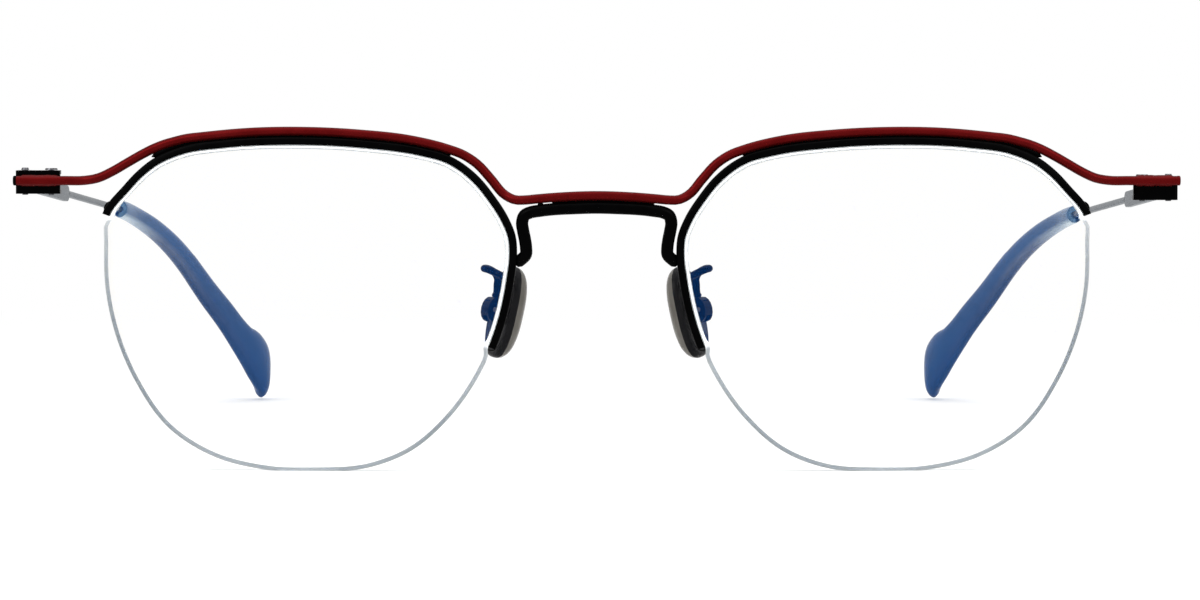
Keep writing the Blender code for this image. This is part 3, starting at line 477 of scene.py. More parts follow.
coreLook = {
    "dark": (0.004, 0.004, 0.005, 1),
    "light": (0.014, 0.014, 0.015, 1),
    "roughness": (0.16, 0.1),
    "gloss": 0.03,
    "bump": (0.002 * mm, 0.5),
    "grain": 0.12 * mm,
}


def redEnamel(maker):
    look = redEnamelLook
    spot = maker.place()
    cloud = maker.noise(spot, look["cloud"])
    peel = maker.noise(spot, look["peel"], detail=2.0)
    flake = maker.noise(spot, look["peel"] / 4, detail=1.0)
    tone = maker.clamp(0.5 + (cloud - 0.5) * look["clouding"] + (flake - 0.5) * look["flaking"])
    return maker.principled(
        Base_Color=maker.mix(tone, look["deep"], look["bright"]),
        Metallic=look["metal"], Roughness=maker.around(*look["roughness"], peel),
        Specular_IOR_Level=look["gloss"], Specular_Tint=look["edge"], Normal=maker.bump(peel, *look["bump"]))


def blackEnamel(maker):
    look = blackEnamelLook
    spot = maker.place()
    peel = maker.noise(spot, look["peel"], detail=2.0)
    rub = maker.noise(spot, look["rub"])
    return maker.principled(
        Base_Color=maker.mix(maker.around(0.5, look["rubbing"], rub), look["dark"], look["light"]),
        Roughness=maker.around(*look["roughness"], rub),
        Specular_IOR_Level=look["gloss"], Normal=maker.bump(peel, *look["bump"]))


def templeMetal(maker):
    look = templeLook
    grain = maker.noise(maker.place(look["run"]), look["grain"])
    cloud = maker.noise(maker.place(), look["cloud"])
    tone = maker.clamp(0.5 + (cloud - 0.5) * look["clouding"] + (grain - 0.5) * look["graining"])
    return maker.principled(
        Base_Color=maker.mix(tone, look["dark"], look["light"]),
        Metallic=1.0, Roughness=maker.around(*look["roughness"], grain),
        Specular_Tint=look["edge"], Normal=maker.bump(grain, *look["bump"]))


def screwSteel(maker):
    look = screwLook
    grain = maker.noise(maker.place(look["run"]), look["grain"])
    return maker.principled(
        Base_Color=maker.mix(grain, look["dark"], look["light"]),
        Metallic=1.0, Roughness=maker.around(*look["roughness"], grain),
        Normal=maker.bump(grain, *look["bump"]))


def clearOf(maker, shader, film):
    # lets the lamps' light through, so that clear pieces throw no solid shadow
    shadowRay = maker.node("ShaderNodeLightPath", output=1)
    through = maker.node("ShaderNodeBsdfTransparent", sockets={"Color": film})
    return maker.node("ShaderNodeMixShader", sockets={0: shadowRay, 1: shader, 2: through})


def lensGlass(maker):
    look = lensLook
    waver = maker.noise(maker.place(), look["waver"], detail=1.0)
    glass = maker.principled(
        Base_Color=(1, 1, 1, 1), Roughness=maker.around(*look["roughness"], waver),
        IOR=look["index"], Transmission_Weight=1.0, Specular_IOR_Level=look["coatLevel"],
        Specular_Tint=look["coatTint"], Normal=maker.bump(waver, *look["bump"]))
    return clearOf(maker, glass, look["film"])


def lensEdge(maker):
    look = edgeLook
    grain = maker.noise(maker.place(), look["grain"], detail=2.0)
    tone = maker.node("ShaderNodeAttribute", {"attribute_name": "tone"}, output=2)
    share = maker.around(tone, look["graining"], grain)
    # painted light and shade: the ground edge goes from a painted shaded grey to bright by the tone
    # attribute, and glows by emission as if light carried round inside the lens came out there
    ground = maker.principled(
        Base_Color=maker.mix(share, look["paintedShade"], look["bright"]),
        Emission_Color=maker.mix(share, (0.0, 0.0, 0.0, 1), look["bright"]), Emission_Strength=look["paintedGlow"],
        Roughness=look["roughness"], Transmission_Weight=look["clear"], IOR=lensLook["index"],
        Normal=maker.bump(grain, *look["bump"]))
    return clearOf(maker, ground, look["film"])


def clearNylon(maker):
    look = nylonLook
    grain = maker.noise(maker.place(), look["grain"], detail=2.0)
    nylon = maker.principled(
        Base_Color=maker.mix(grain, look["deep"], look["pale"]), Roughness=look["roughness"],
        Transmission_Weight=look["clear"], IOR=look["index"], Normal=maker.bump(grain, *look["bump"]))
    return clearOf(maker, nylon, look["film"])


def tipAcetate(maker):
    # the tip's UV map runs along it, and round it from its outer side
    look = tipLook
    spread = maker.node("ShaderNodeUVMap", {"uv_map": "UVMap"})
    along = maker.node("ShaderNodeSeparateXYZ", sockets={"Vector": spread})
    turn = maker.node("ShaderNodeSeparateXYZ", sockets={"Vector": spread}, output=1)
    swirl = maker.noise(maker.place(look["swirlRun"]), look["swirl"])
    streak = maker.noise(maker.place(look["streakRun"]), look["swirl"] / 3)
    ramps = [{"stops": look[part]} for part in ("sides", "under", "mouthShades")]
    swayed = maker.around(along, look["sway"], swirl)
    side, under = [maker.node("ShaderNodeValToRGB", ramp, {"Fac": swayed}) for ramp in ramps[:2]]
    low = 0.0 - maker.math("SINE", turn * (2 * math.pi), 0.0)
    # painted light: the underside goes over to the paler tone
    tone = maker.mix(maker.climb(low, *look["underLightClimb"]), side, under)
    streaks = maker.climb(streak, *look["streakClimb"]) * look["streaking"]
    tone = maker.mix(streaks, tone, look["streak"])
    # painted shade: a dark line along the upper edge, and further on along the lower one too
    highEdgeShade = maker.climb(0.0 - low, *look["edgeShadeClimb"])
    lowEdgeShade = maker.climb(low, *look["edgeShadeClimb"]) * maker.climb(along, *look["lowEdgeShadeClimb"])
    tone = maker.mix((highEdgeShade + lowEdgeShade) * look["edgeShading"], tone, look["streak"])
    # painted shade on the cut face at the mouth, darker towards its outer lower edge
    mouthShadeCrescent = maker.math("COSINE", (turn - look["mouthTurn"]) * (2 * math.pi), 0.0) * 0.5
    mouth = maker.node("ShaderNodeValToRGB", ramps[2], {"Fac": mouthShadeCrescent})
    tone = maker.mix(maker.clamp(1.0 - along / look["mouthReach"]), tone, mouth)
    body = maker.principled(
        Base_Color=tone, Roughness=maker.around(*look["roughness"], swirl),
        Transmission_Weight=look["clear"], IOR=look["index"], Specular_IOR_Level=look["gloss"],
        Normal=maker.bump(swirl, *look["bump"]))
    return clearOf(maker, body, look["film"])


def padSilicone(maker):
    look = padLook
    cloud = maker.noise(maker.place(), look["cloud"])
    grain = maker.noise(maker.place(), look["grain"], detail=2.0)
    body = maker.principled(
        Base_Color=maker.mix(cloud, look["deep"], look["pale"]),
        Roughness=maker.around(*look["roughness"], grain), Transmission_Weight=look["clear"],
        IOR=look["index"], Specular_IOR_Level=look["gloss"], Normal=maker.bump(grain, *look["bump"]))
    return clearOf(maker, body, look["film"])


def padCore(maker):
    look = coreLook
    grain = maker.noise(maker.place(), look["grain"], detail=2.0)
    return maker.principled(
        Base_Color=maker.mix(grain, look["dark"], look["light"]),
        Roughness=maker.around(*look["roughness"], grain), Specular_IOR_Level=look["gloss"],
        Normal=maker.bump(grain, *look["bump"]))


finishes = {name: newFinish(name, build) for name, build in (
    ("redEnamel", redEnamel), ("blackEnamel", blackEnamel), ("templeMetal", templeMetal),
    ("screwSteel", screwSteel), ("lensGlass", lensGlass), ("lensEdge", lensEdge),
    ("clearNylon", clearNylon), ("tipAcetate", tipAcetate), ("padSilicone", padSilicone),
    ("padCore", padCore))}
print("finishes made:", len(finishes))


def dress(piece, finish, body, *replaced):
    # gives a piece its finish, its body and the nodes that it stands for
    if not piece.data.materials:
        piece.data.materials.append(finishes[finish])
    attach(piece, body)
    if replaced:
        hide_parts(*replaced)
    return piece


# Geometry node trees: round wire along a path, and a slotted screw

def newTree(name, inputs):
    tree = bpy.data.node_groups.new(name, "GeometryNodeTree")
    tree.interface.new_socket("Geometry", in_out="INPUT", socket_type="NodeSocketGeometry")
    for label, kind in inputs:
        tree.interface.new_socket(label, in_out="INPUT", socket_type="NodeSocket" + kind)
    tree.interface.new_socket("Geometry", in_out="OUTPUT", socket_type="NodeSocketGeometry")
    maker = Maker(tree)
    source = tree.nodes.new("NodeGroupInput")
    return maker, {socket.name: Signal(maker, socket) for socket in source.outputs if socket.name}


def closeTree(maker, geometry, material):
    smooth = maker.node("GeometryNodeSetShadeSmooth", sockets={"Geometry": geometry})
    real = maker.node("GeometryNodeRealizeInstances", sockets={"Geometry": smooth})
    coated = maker.node("GeometryNodeSetMaterial", sockets={"Geometry": real, "Material": material})
    maker.node("NodeGroupOutput", sockets={"Geometry": coated})
    return maker.tree


def wireTree():
    maker, given = newTree("wireAlongPath", [
        ("Radius", "Float"), ("Sides", "Int"), ("Waver", "Float"), ("Waver Size", "Float"),
        ("Material", "Material")])
    curve = maker.node("GeometryNodeMeshToCurve", sockets={"Mesh": given["Geometry"]})
    circle = maker.node("GeometryNodeCurvePrimitiveCircle",
                        sockets={"Resolution": given["Sides"], "Radius": given["Radius"]})
    taper = maker.node("GeometryNodeInputNamedAttribute", {"data_type": "FLOAT"}, {"Name": "taper"})
    spot = maker.node("GeometryNodeInputPosition")
    lumps = maker.node("ShaderNodeTexNoise", sockets={"Vector": spot, "Scale": 1.0 / given["Waver Size"]})
    swell = taper * (1.0 + (lumps - 0.5) * given["Waver"])
    tube = maker.node("GeometryNodeCurveToMesh", sockets={
        "Curve": curve, "Profile Curve": circle, "Scale": swell, "Fill Caps": True})
    return closeTree(maker, tube, given["Material"])


def screwTree():
    maker, given = newTree("slottedScrew", [
        ("Shank Radius", "Float"), ("Shank Length", "Float"), ("Head Radius", "Float"),
        ("Head Height", "Float"), ("Crown", "Float"), ("Slot Width", "Float"),
        ("Slot Depth", "Float"), ("Sides", "Int"), ("Material", "Material")])

    def cone(low, high, foot, rise):
        body = maker.node("GeometryNodeMeshCone", sockets={
            "Vertices": given["Sides"], "Radius Bottom": low, "Radius Top": high, "Depth": rise})
        place = maker.node("ShaderNodeCombineXYZ", sockets={2: foot})
        return maker.node("GeometryNodeTransform", sockets={"Geometry": body, "Translation": place})

    # made a thousand times larger, so that the cut comes out clean
    # the slot is cut into the head alone, and the shank reaches up into it
    reachUp, acrossHead = 0.3, 2.4  # shares of the head's height and of its radius
    shank = cone(given["Shank Radius"], given["Shank Radius"], 0.0 - given["Shank Length"],
                 given["Shank Length"] + given["Head Height"] * reachUp)
    head = cone(given["Head Radius"], given["Head Radius"] - given["Crown"], 0.0, given["Head Height"])
    size = maker.node("ShaderNodeCombineXYZ", sockets={
        0: given["Head Radius"] * acrossHead, 1: given["Slot Width"], 2: given["Slot Depth"] * 2.0})
    slot = maker.node("GeometryNodeMeshCube", sockets={"Size": size})
    lift = maker.node("ShaderNodeCombineXYZ", sockets={2: given["Head Height"]})
    slot = maker.node("GeometryNodeTransform", sockets={"Geometry": slot, "Translation": lift})
    cut = maker.node("GeometryNodeMeshBoolean", {"operation": "DIFFERENCE"},
                     {"Mesh 1": head, "Mesh 2": slot})
    whole = maker.node("GeometryNodeJoinGeometry", sockets={"Geometry": cut})
    maker.tree.links.new(shank.socket, whole.socket.node.inputs["Geometry"])
    turn = maker.node("GeometryNodeInputNamedAttribute", {"data_type": "FLOAT_VECTOR"}, {"Name": "turn"})
    placed = maker.node("GeometryNodeInstanceOnPoints", sockets={
        "Points": given["Geometry"], "Instance": whole, "Rotation": turn, "Scale": (mm, mm, mm)})
    return closeTree(maker, placed, given["Material"])


def grow(name, tree, places, values, tapers=None, turns=None, crease="usual"):
    # runs a tree on points, a path where they have tapers, and keeps the result as a plain mesh
    mesh = bpy.data.meshes.new(name)
    links = [(index, index + 1) for index in range(len(places) - 1)] if tapers else []
    mesh.from_pydata(places, links, [])
    if tapers:
        mesh.attributes.new("taper", "FLOAT", "POINT").data.foreach_set("value", tapers)
    if turns:
        flat = [value for turn in turns for value in turn]
        mesh.attributes.new("turn", "FLOAT_VECTOR", "POINT").data.foreach_set("vector", flat)
    piece = bpy.data.objects.new(name, mesh)
    bpy.context.scene.collection.objects.link(piece)
    modifier = piece.modifiers.new(tree.name, "NODES")
    modifier.node_group = tree
    for item in tree.interface.items_tree:
        if item.in_out == "INPUT" and item.name in values:
            modifier[item.identifier] = values[item.name]
    bpy.context.view_layer.update()
    made = bpy.data.meshes.new_from_object(piece.evaluated_get(bpy.context.evaluated_depsgraph_get()))
    piece.modifiers.clear()
    piece.data = made
    made.name = name
    made.shade_smooth()
    made.set_sharp_from_angle(angle=math.radians(creases[crease]))
    return piece


wireAlongPath = wireTree()
slottedScrew = screwTree()
rounding = {
    "wireSides": 20,
    "wireEnd": 0.6,  # share of the radius that a wire's end is rounded over
    "wireEndSteps": 5,
    "wireEndClear": 1.2,  # the path's own points start this many roundings from the end
    "waverSize": 1.5 * mm,
    "screwSides": 40,
}


def wire(name, points, radius, finish, endRound=rounding["wireEnd"], sidesRound=rounding["wireSides"],
         waver=0.0):
    # round wire whose ends are rounded over a share of the radius
    reach = radius * endRound
    clear = reach * rounding["wireEndClear"]
    lengths = lengthsAlong(points)
    total = lengths[-1]
    inner = [d for d in lengths if clear < d < total - clear]
    turns = evenSteps(0.0, math.pi / 2, rounding["wireEndSteps"] + 1)
    ends = [(reach * (1 - math.cos(turn)), 1 - endRound + endRound * math.sin(turn)) for turn in turns]
    stations = ends + [(d, 1.0) for d in inner] + [(total - d, taper) for d, taper in reversed(ends)]
    places = [pointAlong(points, lengths, d) for d, taper in stations]
    return grow(name, wireAlongPath, places, {
        "Radius": radius, "Sides": sidesRound, "Waver": waver, "Waver Size": rounding["waverSize"],
        "Material": finishes[finish]}, tapers=[taper for d, taper in stations])


def screwAt(name, place, turn, sizes):
    # a slotted screw with its head at a place, its axis turned from Z
    values = {label: size / mm for label, size in sizes.items()}
    values.update({"Sides": rounding["screwSides"], "Material": finishes["screwSteel"]})
    return grow(name, slottedScrew, [place], values, turns=[turn], crease="screw")


print("node trees made")


# Lenses

lens = {
    "grooveWidth": 0.8 * mm,
    # free, and where the rim holds the lens
    "bevels": (0.14 * mm, 0.08 * mm),
    "grooveDepths": (0.54 * mm, 0.22 * mm),
    "stations": 200,
    "rimEnds": (0.55, -0.25),  # heights of the rim's ends, temple side and nose side, of half the lens's
    "faceRings": [0.16, 0.32, 0.47, 0.61, 0.73, 0.83, 0.91, 0.965],
    "rimInset": 0.60 * mm,  # how far the edge stands back under the rim
    "stepLength": 1.3 * mm,
    "footFlat": 0.12 * mm,
    # painted light and shade along the free edge: share of its way from the nose to the temple side,
    # brightness
    "paintedEdgeLight": [(0.0, 0.15), (0.17, 0.02), (0.30, 0.05), (0.41, 0.06), (0.53, 0.08), (0.60, 0.05),
                  (0.66, 0.01), (0.77, 0.0), (0.86, 0.05), (0.92, 0.12), (0.965, 0.18), (0.985, 0.28),
                  (1.0, 0.34)],
}
rimStart = outlineAtHeight(lens["rimEnds"][0] * halfHeight, False)
rimEnd = outlineAtHeight(lens["rimEnds"][1] * halfHeight, True)


def edgeInset(distance):
    past = max(distance - rimEnd, 0.0)
    remaining = max(outlineTotal + rimStart - distance, 0.0)
    return lens["rimInset"] * (1 - min(past / lens["stepLength"], remaining / lens["stepLength"], 1.0))


def paintedEdgeLightAt(distance):
    share = (distance - rimEnd) / (outlineTotal + rimStart - rimEnd)
    if share < 0:
        return 1.0
    for (low, toneLow), (high, toneHigh) in zip(lens["paintedEdgeLight"], lens["paintedEdgeLight"][1:]):
        if share <= high:
            return toneLow + (toneHigh - toneLow) * (share - low) / (high - low)
    return 1.0


def heldMix(distance, pair):
    held = min(max(min(distance - rimStart, rimEnd - distance) / lens["stepLength"], 0.0), 1.0)
    return pair[0] + (pair[1] - pair[0]) * held


def lensBody(name, side):
    thick = front["lensThickness"]
    low, high = (thick - lens["grooveWidth"]) / 2, (thick + lens["grooveWidth"]) / 2
    bevel = lens["bevels"][1]
    # share of the face, of the groove's depth and of the bevel, depth, material of the strip that follows
    face = [(share, 1, 1, 0.0, 0) for share in lens["faceRings"]]
    edge = [(1.0, 1, 1, 0.0, 0), (1.0, 0, 1, 0.0, 1), (1.0, 0, 0, bevel, 1), (1.0, 0, 0, low, 1),
            (1.0, 1, 0, low, 1), (1.0, 1, 0, high, 1), (1.0, 0, 0, high, 1), (1.0, 0, 0, thick - bevel, 1),
            (1.0, 0, 1, thick, 0), (1.0, 1, 1, thick, 0)]
    rows = face + edge + [(share, 1, 1, thick, 0) for share, *_ in reversed(face)]
    shape = bmesh.new()
    # the tone attribute holds the painted light and shade of the free edge
    paintedLightLayer = shape.verts.layers.float.new("tone")
    spots = [rimStart + outlineTotal * index / lens["stations"] for index in range(lens["stations"])]
    grid = []
    for share, inGroove, inBevel, depth, _ in rows:
        ring = []
        for distance in spots:
            inset = edgeInset(distance) + inGroove * heldMix(distance, lens["grooveDepths"])
            inset += inBevel * heldMix(distance, lens["bevels"])
            flat = outlinePoint(distance, -inset) * share
            flat.y = max(flat.y, lens["footFlat"] - halfHeight)
            ring.append(shape.verts.new(frontPoint(side, flat, depth)))
            ring[-1][paintedLightLayer] = paintedEdgeLightAt(distance)
        grid.append(ring)
    for ring, following, (*_, material) in zip(grid, grid[1:], rows):
        for index in range(len(spots)):
            after = (index + 1) % len(spots)
            strip = shape.faces.new((ring[index], ring[after], following[after], following[index]))
            strip.material_index = material
    for ring, depth in ((grid[0], 0.0), (grid[-1], thick)):
        pole = shape.verts.new(frontPoint(side, Vector((0.0, 0.0)), depth))
        for index in range(len(spots)):
            shape.faces.new((ring[index], ring[(index + 1) % len(spots)], pole))
    piece = finishMesh(shape, name, "lens")
    piece.data.materials.append(finishes["lensGlass"])
    piece.data.materials.append(finishes["lensEdge"])
    return piece


for word, side in sides.items():
    dress(lensBody("lensPane_" + word, side), "lensGlass", "front", "lens_" + word)
print("lenses made")


# Rims: a half channel round the upper part of each lens

rim = {
    "width": 0.92 * mm,
    "depth": 1.7 * mm,
    "grooveDepth": 0.35 * mm,
    "grooveWidth": 0.8 * mm,
    "corner": 0.28 * mm,
    "cornerSteps": 4,
    "lip": 0.06 * mm,  # what is taken off the inner edges
    "stations": 150,
}


def rimSection():
    outer, floor = rim["width"] / 2, rim["grooveDepth"] - rim["width"] / 2
    half, slot, corner, lip = rim["depth"] / 2, rim["grooveWidth"] / 2, rim["corner"], rim["lip"]
    section = []
    for middle, start in ((-half + corner, -90.0), (half - corner, 0.0)):
        for step in range(rim["cornerSteps"] + 1):
            turn = math.radians(start + 90.0 * step / rim["cornerSteps"])
            section.append((outer - corner + corner * math.cos(turn), middle + corner * math.sin(turn)))
    section += [(lip - outer, half), (-outer, half - lip), (-outer, slot), (floor, slot),
                (floor, -slot), (-outer, -slot), (-outer, lip - half), (lip - outer, -half)]
    return section


def capLoft(name, rings):
    # a body through rings whose two ends are flat
    shape = bmesh.new()
    rows = [[shape.verts.new(place) for place in ring] for ring in rings]
    for row, following in zip(rows, rows[1:]):
        for index in range(len(row)):
            after = (index + 1) % len(row)
            shape.faces.new((row[index], row[after], following[after], following[index]))
    shape.faces.new(rows[0])
    shape.faces.new(rows[-1])
    return finishMesh(shape, name, "flatEnds")


def rimBody(name, side):
    rings = []
    for distance in evenSteps(rimStart, rimEnd, rim["stations"]):
        rings.append([frontPoint(side, outlinePoint(distance, x), midDepth + y) for x, y in rimSection()])
    return capLoft(name, rings)


for word, side in sides.items():
    dress(rimBody("rimWire_" + word, side), "blackEnamel", "front", "rim_" + word)
print("rims made")


# Nylon cords in the free edges of the lenses

cord = {"radius": 0.22 * mm, "inset": 0.27 * mm, "stations": 150, "sides": 12}


def cordPath(side):
    points = []
    start, end = rimEnd + front["seatGap"], outlineTotal + rimStart - front["seatGap"]
    for distance in evenSteps(start, end, cord["stations"]):
        flat = outlinePoint(distance, -cord["inset"] - edgeInset(distance))
        flat.y = max(flat.y, cord["inset"] + lens["footFlat"] - halfHeight)
        points.append(frontPoint(side, flat, midDepth))
    return points


for word, side in sides.items():
    line = wire("lensCord_" + word, cordPath(side), cord["radius"], "clearNylon", sidesRound=cord["sides"])
    dress(line, "clearNylon", "front", "nylon_cord_" + word)
print("cords made")


# Brow bar and bridge

bar = {
    "radius": 0.56 * mm,
    "halfLength": 69.7 * mm,
    "noseShares": [(0.0, 0.6712), (0.461, 0.6622), (0.700, 0.6522), (0.880, 0.6437), (0.960, 0.6437)],
    "climbShares": [(-0.957, 0.6763), (-0.891, 0.7715), (-0.823, 0.8627), (-0.753, 0.9189)],
    "onRimShares": [-0.67, -0.50, -0.25, 0.0, 0.25, 0.50],
    "fallShares": [(0.600, 1.0105), (0.650, 0.9948), (0.700, 0.9770), (0.760, 0.9469), (0.818, 0.9098),
                   (0.886, 0.8617), (0.955, 0.8126), (1.026, 0.7725), (1.098, 0.7565)],
    "endShares": (1.19, 0.7555),
    "stations": 260,
    "endRound": 0.4,
    "capStations": (-0.40 * mm, -0.20 * mm, 0.0, 0.06 * mm),  # of the enamel on each cut end; black on the right end is painted shade
    "capThickness": 0.03 * mm,
    "capRound": 0.25,
}
bridge = {
    "radius": 0.74 * mm,
    "arch": 1.0 * mm,
    "underBarShares": [0.0, 0.300, 0.438],
    "legShares": [(0.678, 0.5800), (0.797, 0.5690), (0.864, 0.5519), (0.893, 0.5098),
                  (0.882, 0.4617), (0.861, 0.4106), (0.846, 0.3564), (0.846, 0.3193)],
    "endShare": 0.2792,
    "endGap": 0.12 * mm,
    "foot": 0.25 * mm,
    "stations": 130,
    "endRound": 0.1,
    "sides": 24,
}
rimHalf = rim["width"] / 2
endDepth = bowlDepth(flatAt(*bar["fallShares"][-1])) + midDepth
endY = front["planeY"] + endDepth
endZ = lensZ + bar["endShares"][1] * halfHeight


def noseY(across):
    edge = bowlDepth(Vector((-halfWidth, 0.0))) + midDepth
    return front["planeY"] + edge - bridge["arch"] * (1 - (across / halfBridge) ** 2)


def noseSpot(x, z):
    # a place between the lenses, from shares of half the bridge and of half the lens's height
    return Vector((x * halfBridge, noseY(x * halfBridge), lensZ + z * halfHeight))


def barHalf():
    points = [noseSpot(*shares) for shares in bar["noseShares"]]
    points += [frontPoint(left, flatAt(*shares), midDepth) for shares in bar["climbShares"]]
    for share in bar["onRimShares"]:
        flat = outlinePoint(outlineTop(share * halfWidth), rimHalf + front["seatGap"] + bar["radius"])
        points.append(frontPoint(left, flat, midDepth))
    points += [frontPoint(left, flatAt(*shares), midDepth) for shares in bar["fallShares"]]
    points.append(Vector((lensX + bar["endShares"][0] * halfWidth, endY, endZ)))
    points.append(Vector((bar["halfLength"], endY, endZ)))
    return points


def onSide(side, point):
    # the same place on the wearer's left or right
    return Vector((side * point.x, point.y, point.z))


def bothHalves(half):
    return [onSide(right, point) for point in reversed(half[1:])] + half


def bridgePath():
    under = bar["radius"] + front["seatGap"] + bridge["radius"]
    above = smoothThrough(barHalf())
    half = []
    for share in bridge["underBarShares"]:
        x = share * halfBridge
        half.append(Vector((x, noseY(x), min(above, key=lambda p: abs(p.x - x)).z - under)))
    half += [noseSpot(*shares) for shares in bridge["legShares"]]
    joint = outlineAtHeight(bridge["endShare"] * halfHeight, True)
    foot = frontPoint(left, outlinePoint(joint, rimHalf + bridge["endGap"]), midDepth)
    half.append(foot - Vector((bridge["foot"], 0.0, 0.0)))
    path = evenly(smoothThrough(bothHalves(half)), bridge["stations"])
    return [onSide(right, foot), *path, foot], foot


barPath = evenly(smoothThrough(bothHalves(barHalf())), bar["stations"])
browWire = wire("browWire", barPath, bar["radius"], "redEnamel", endRound=bar["endRound"])
dress(browWire, "redEnamel", "front", "brow_bar")
bridgeLine, bridgeFoot = bridgePath()
bridgeWire = wire("bridgeWire", bridgeLine, bridge["radius"], "blackEnamel",
                  endRound=bridge["endRound"], sidesRound=bridge["sides"])
dress(bridgeWire, "blackEnamel", "front", "bridge")
print("brow bar and bridge made")


# Solder: fillets where wires are joined, each with small ripples

solder = {
    "rimSeam": 0.16 * mm,  # how far the solder laps over both sides of the gap
    "rimSeamEnds": (0.745, -0.69),  # shares of the lens's half width
    "rimSeamStations": 111,
    "bridgeSeam": 0.17 * mm,
    "bridgeSeamEnds": (-5.5 * mm, 6.9 * mm),
    "bridgeSeamFall": 4.0 * mm,  # how far below the bar's ends it may go
    "setBack": 0.22 * mm,
    "pointStations": 1.5,  # a seam's end runs out over this many stations
    "pointTaper": 0.05,
    "collar": 0.74 * mm,
    "collarReach": (0.5 * mm, 0.35 * mm),  # towards the nose and towards the rim
    "dropX": -6.75 * mm,  # a stray drop beside the bridge's seam
    "dropReach": 0.35 * mm,
    "dropRadius": 0.30 * mm,
    "dropLevel": 0.25,  # how much a place's height counts against its place across
    "blockStart": 0.42 * mm,
    "blockEnd": 5.6 * mm,
    "blockSeam": 0.68 * mm,
    "blockStations": 25,
    "blockTapers": (0.7, 0.1),  # at the ends, and added at each station from there
    "rimEnd": 0.60 * mm,
    "knot": (0.9 * mm, 0.10 * mm),  # along the rim, and outwards
    "knotEnd": (0.1 * mm, 0.06 * mm),
    "sides": 14,
    "ripple": 0.22,
    "rippleSize": 0.9 * mm,
    "beadSteps": 12,
    "beadTaper": 0.12,
    "beadSides": 20,
    "beadRipple": 0.12,
}


def seam(name, places, tapers, radius, finish="blackEnamel"):
    piece = grow(name, wireAlongPath, places, {
        "Radius": radius, "Sides": solder["sides"], "Waver": solder["ripple"],
        "Waver Size": solder["rippleSize"], "Material": finishes[finish]}, tapers=tapers)
    return dress(piece, finish, "front")


def seamOnBar(name, edge, overlap):
    # solder that fills the gap between an edge and the brow bar, and ends in a point
    places, tapers = [], []
    for index, place in enumerate(edge):
        near = min(barPath, key=lambda point: (point - place).length_squared)
        surface = near + (place - near).normalized() * bar["radius"]
        end = min(index, len(edge) - 1 - index) / solder["pointStations"]
        places.append((place + surface) / 2 + Vector((0.0, solder["setBack"], 0.0)))
        thickness = (place - surface).length / 2 + overlap
        tapers.append(thickness / mm * min(max(end, solder["pointTaper"]), 1.0))
    return seam(name, places, tapers, 1.0 * mm)


def bead(name, start, end, radius):
    # a short swelling of metal round a joint
    shares = evenSteps(0.0, 1.0, solder["beadSteps"] + 1)
    points = [start.lerp(end, share) for share in shares]
    tapers = [max(solder["beadTaper"], math.sin(math.pi * share) ** 0.5) for share in shares]
    piece = grow(name, wireAlongPath, points, {
        "Radius": radius, "Sides": solder["beadSides"], "Waver": solder["beadRipple"],
        "Waver Size": lengthsAlong(points)[-1], "Material": finishes["blackEnamel"]}, tapers=tapers)
    return dress(piece, "blackEnamel", "front")


for word, side in sides.items():
    start, end = [outlineTop(share * halfWidth) for share in solder["rimSeamEnds"]]
    spots = evenSteps(start, end, solder["rimSeamStations"])
    edge = [frontPoint(side, outlinePoint(distance, rimHalf), midDepth) for distance in spots]
    seamOnBar("rimSeam_" + word, edge, solder["rimSeam"])
    foot = onSide(side, bridgeFoot)
    noseward, rimward = [Vector((side * reach, 0.0, 0.0)) for reach in solder["collarReach"]]
    bead("bridgeCollar_" + word, foot - noseward, foot + rimward, solder["collar"])
seamStart, seamEnd = solder["bridgeSeamEnds"]
bridgeTop = [point + up * bridge["radius"] for point in bridgeLine
             if seamStart < point.x < seamEnd and point.z > endZ - solder["bridgeSeamFall"]]
seamOnBar("bridgeSeam", bridgeTop, solder["bridgeSeam"])
nearest = min(bridgeLine, key=lambda point: abs(point.x - solder["dropX"])
              + abs(point.z - endZ) * solder["dropLevel"])
drop = nearest + up * bridge["radius"]
dropReach = Vector((solder["dropReach"], 0.0, 0.0))
bead("bridgeDrop", drop - dropReach, drop + dropReach, solder["dropRadius"])

for word, side in sides.items():
    # red enamel has run into the joint of the bar and the block, and one cut end of the bar is black as
    # painted shade on its round end
    inner, outer = bar["halfLength"] - solder["blockEnd"], bar["halfLength"] - solder["blockStart"]
    places = [Vector((side * x, endY + solder["setBack"], endZ))
              for x in evenSteps(inner, outer, solder["blockStations"])]
    atEnd, added = solder["blockTapers"]
    tapers = [min(1.0, atEnd + added * min(index, solder["blockStations"] - 1 - index))
              for index in range(solder["blockStations"])]
    seam("blockSeam_" + word, places, tapers, solder["blockSeam"], "redEnamel")
    capLine = [Vector((side * (bar["halfLength"] + past), endY, endZ)) for past in bar["capStations"]]
    # painted shade: the right cut end is capped in black
    capFinish = "blackEnamel" if side == right else "redEnamel"
    cap = wire("barEnd_" + word, capLine, bar["radius"] + bar["capThickness"], capFinish,
               endRound=bar["capRound"])
    dress(cap, capFinish, "front")
    # a knob where the cord is tied into the rim's end
    knot, tail = [frontPoint(side, outlinePoint(rimStart + along, out), midDepth)
                  for along, out in (solder["knot"], solder["knotEnd"])]
    bead("rimEnd_" + word, knot + (knot - tail), tail, solder["rimEnd"])
print("solder made")


# Hinges: blocks, screws and stop pins

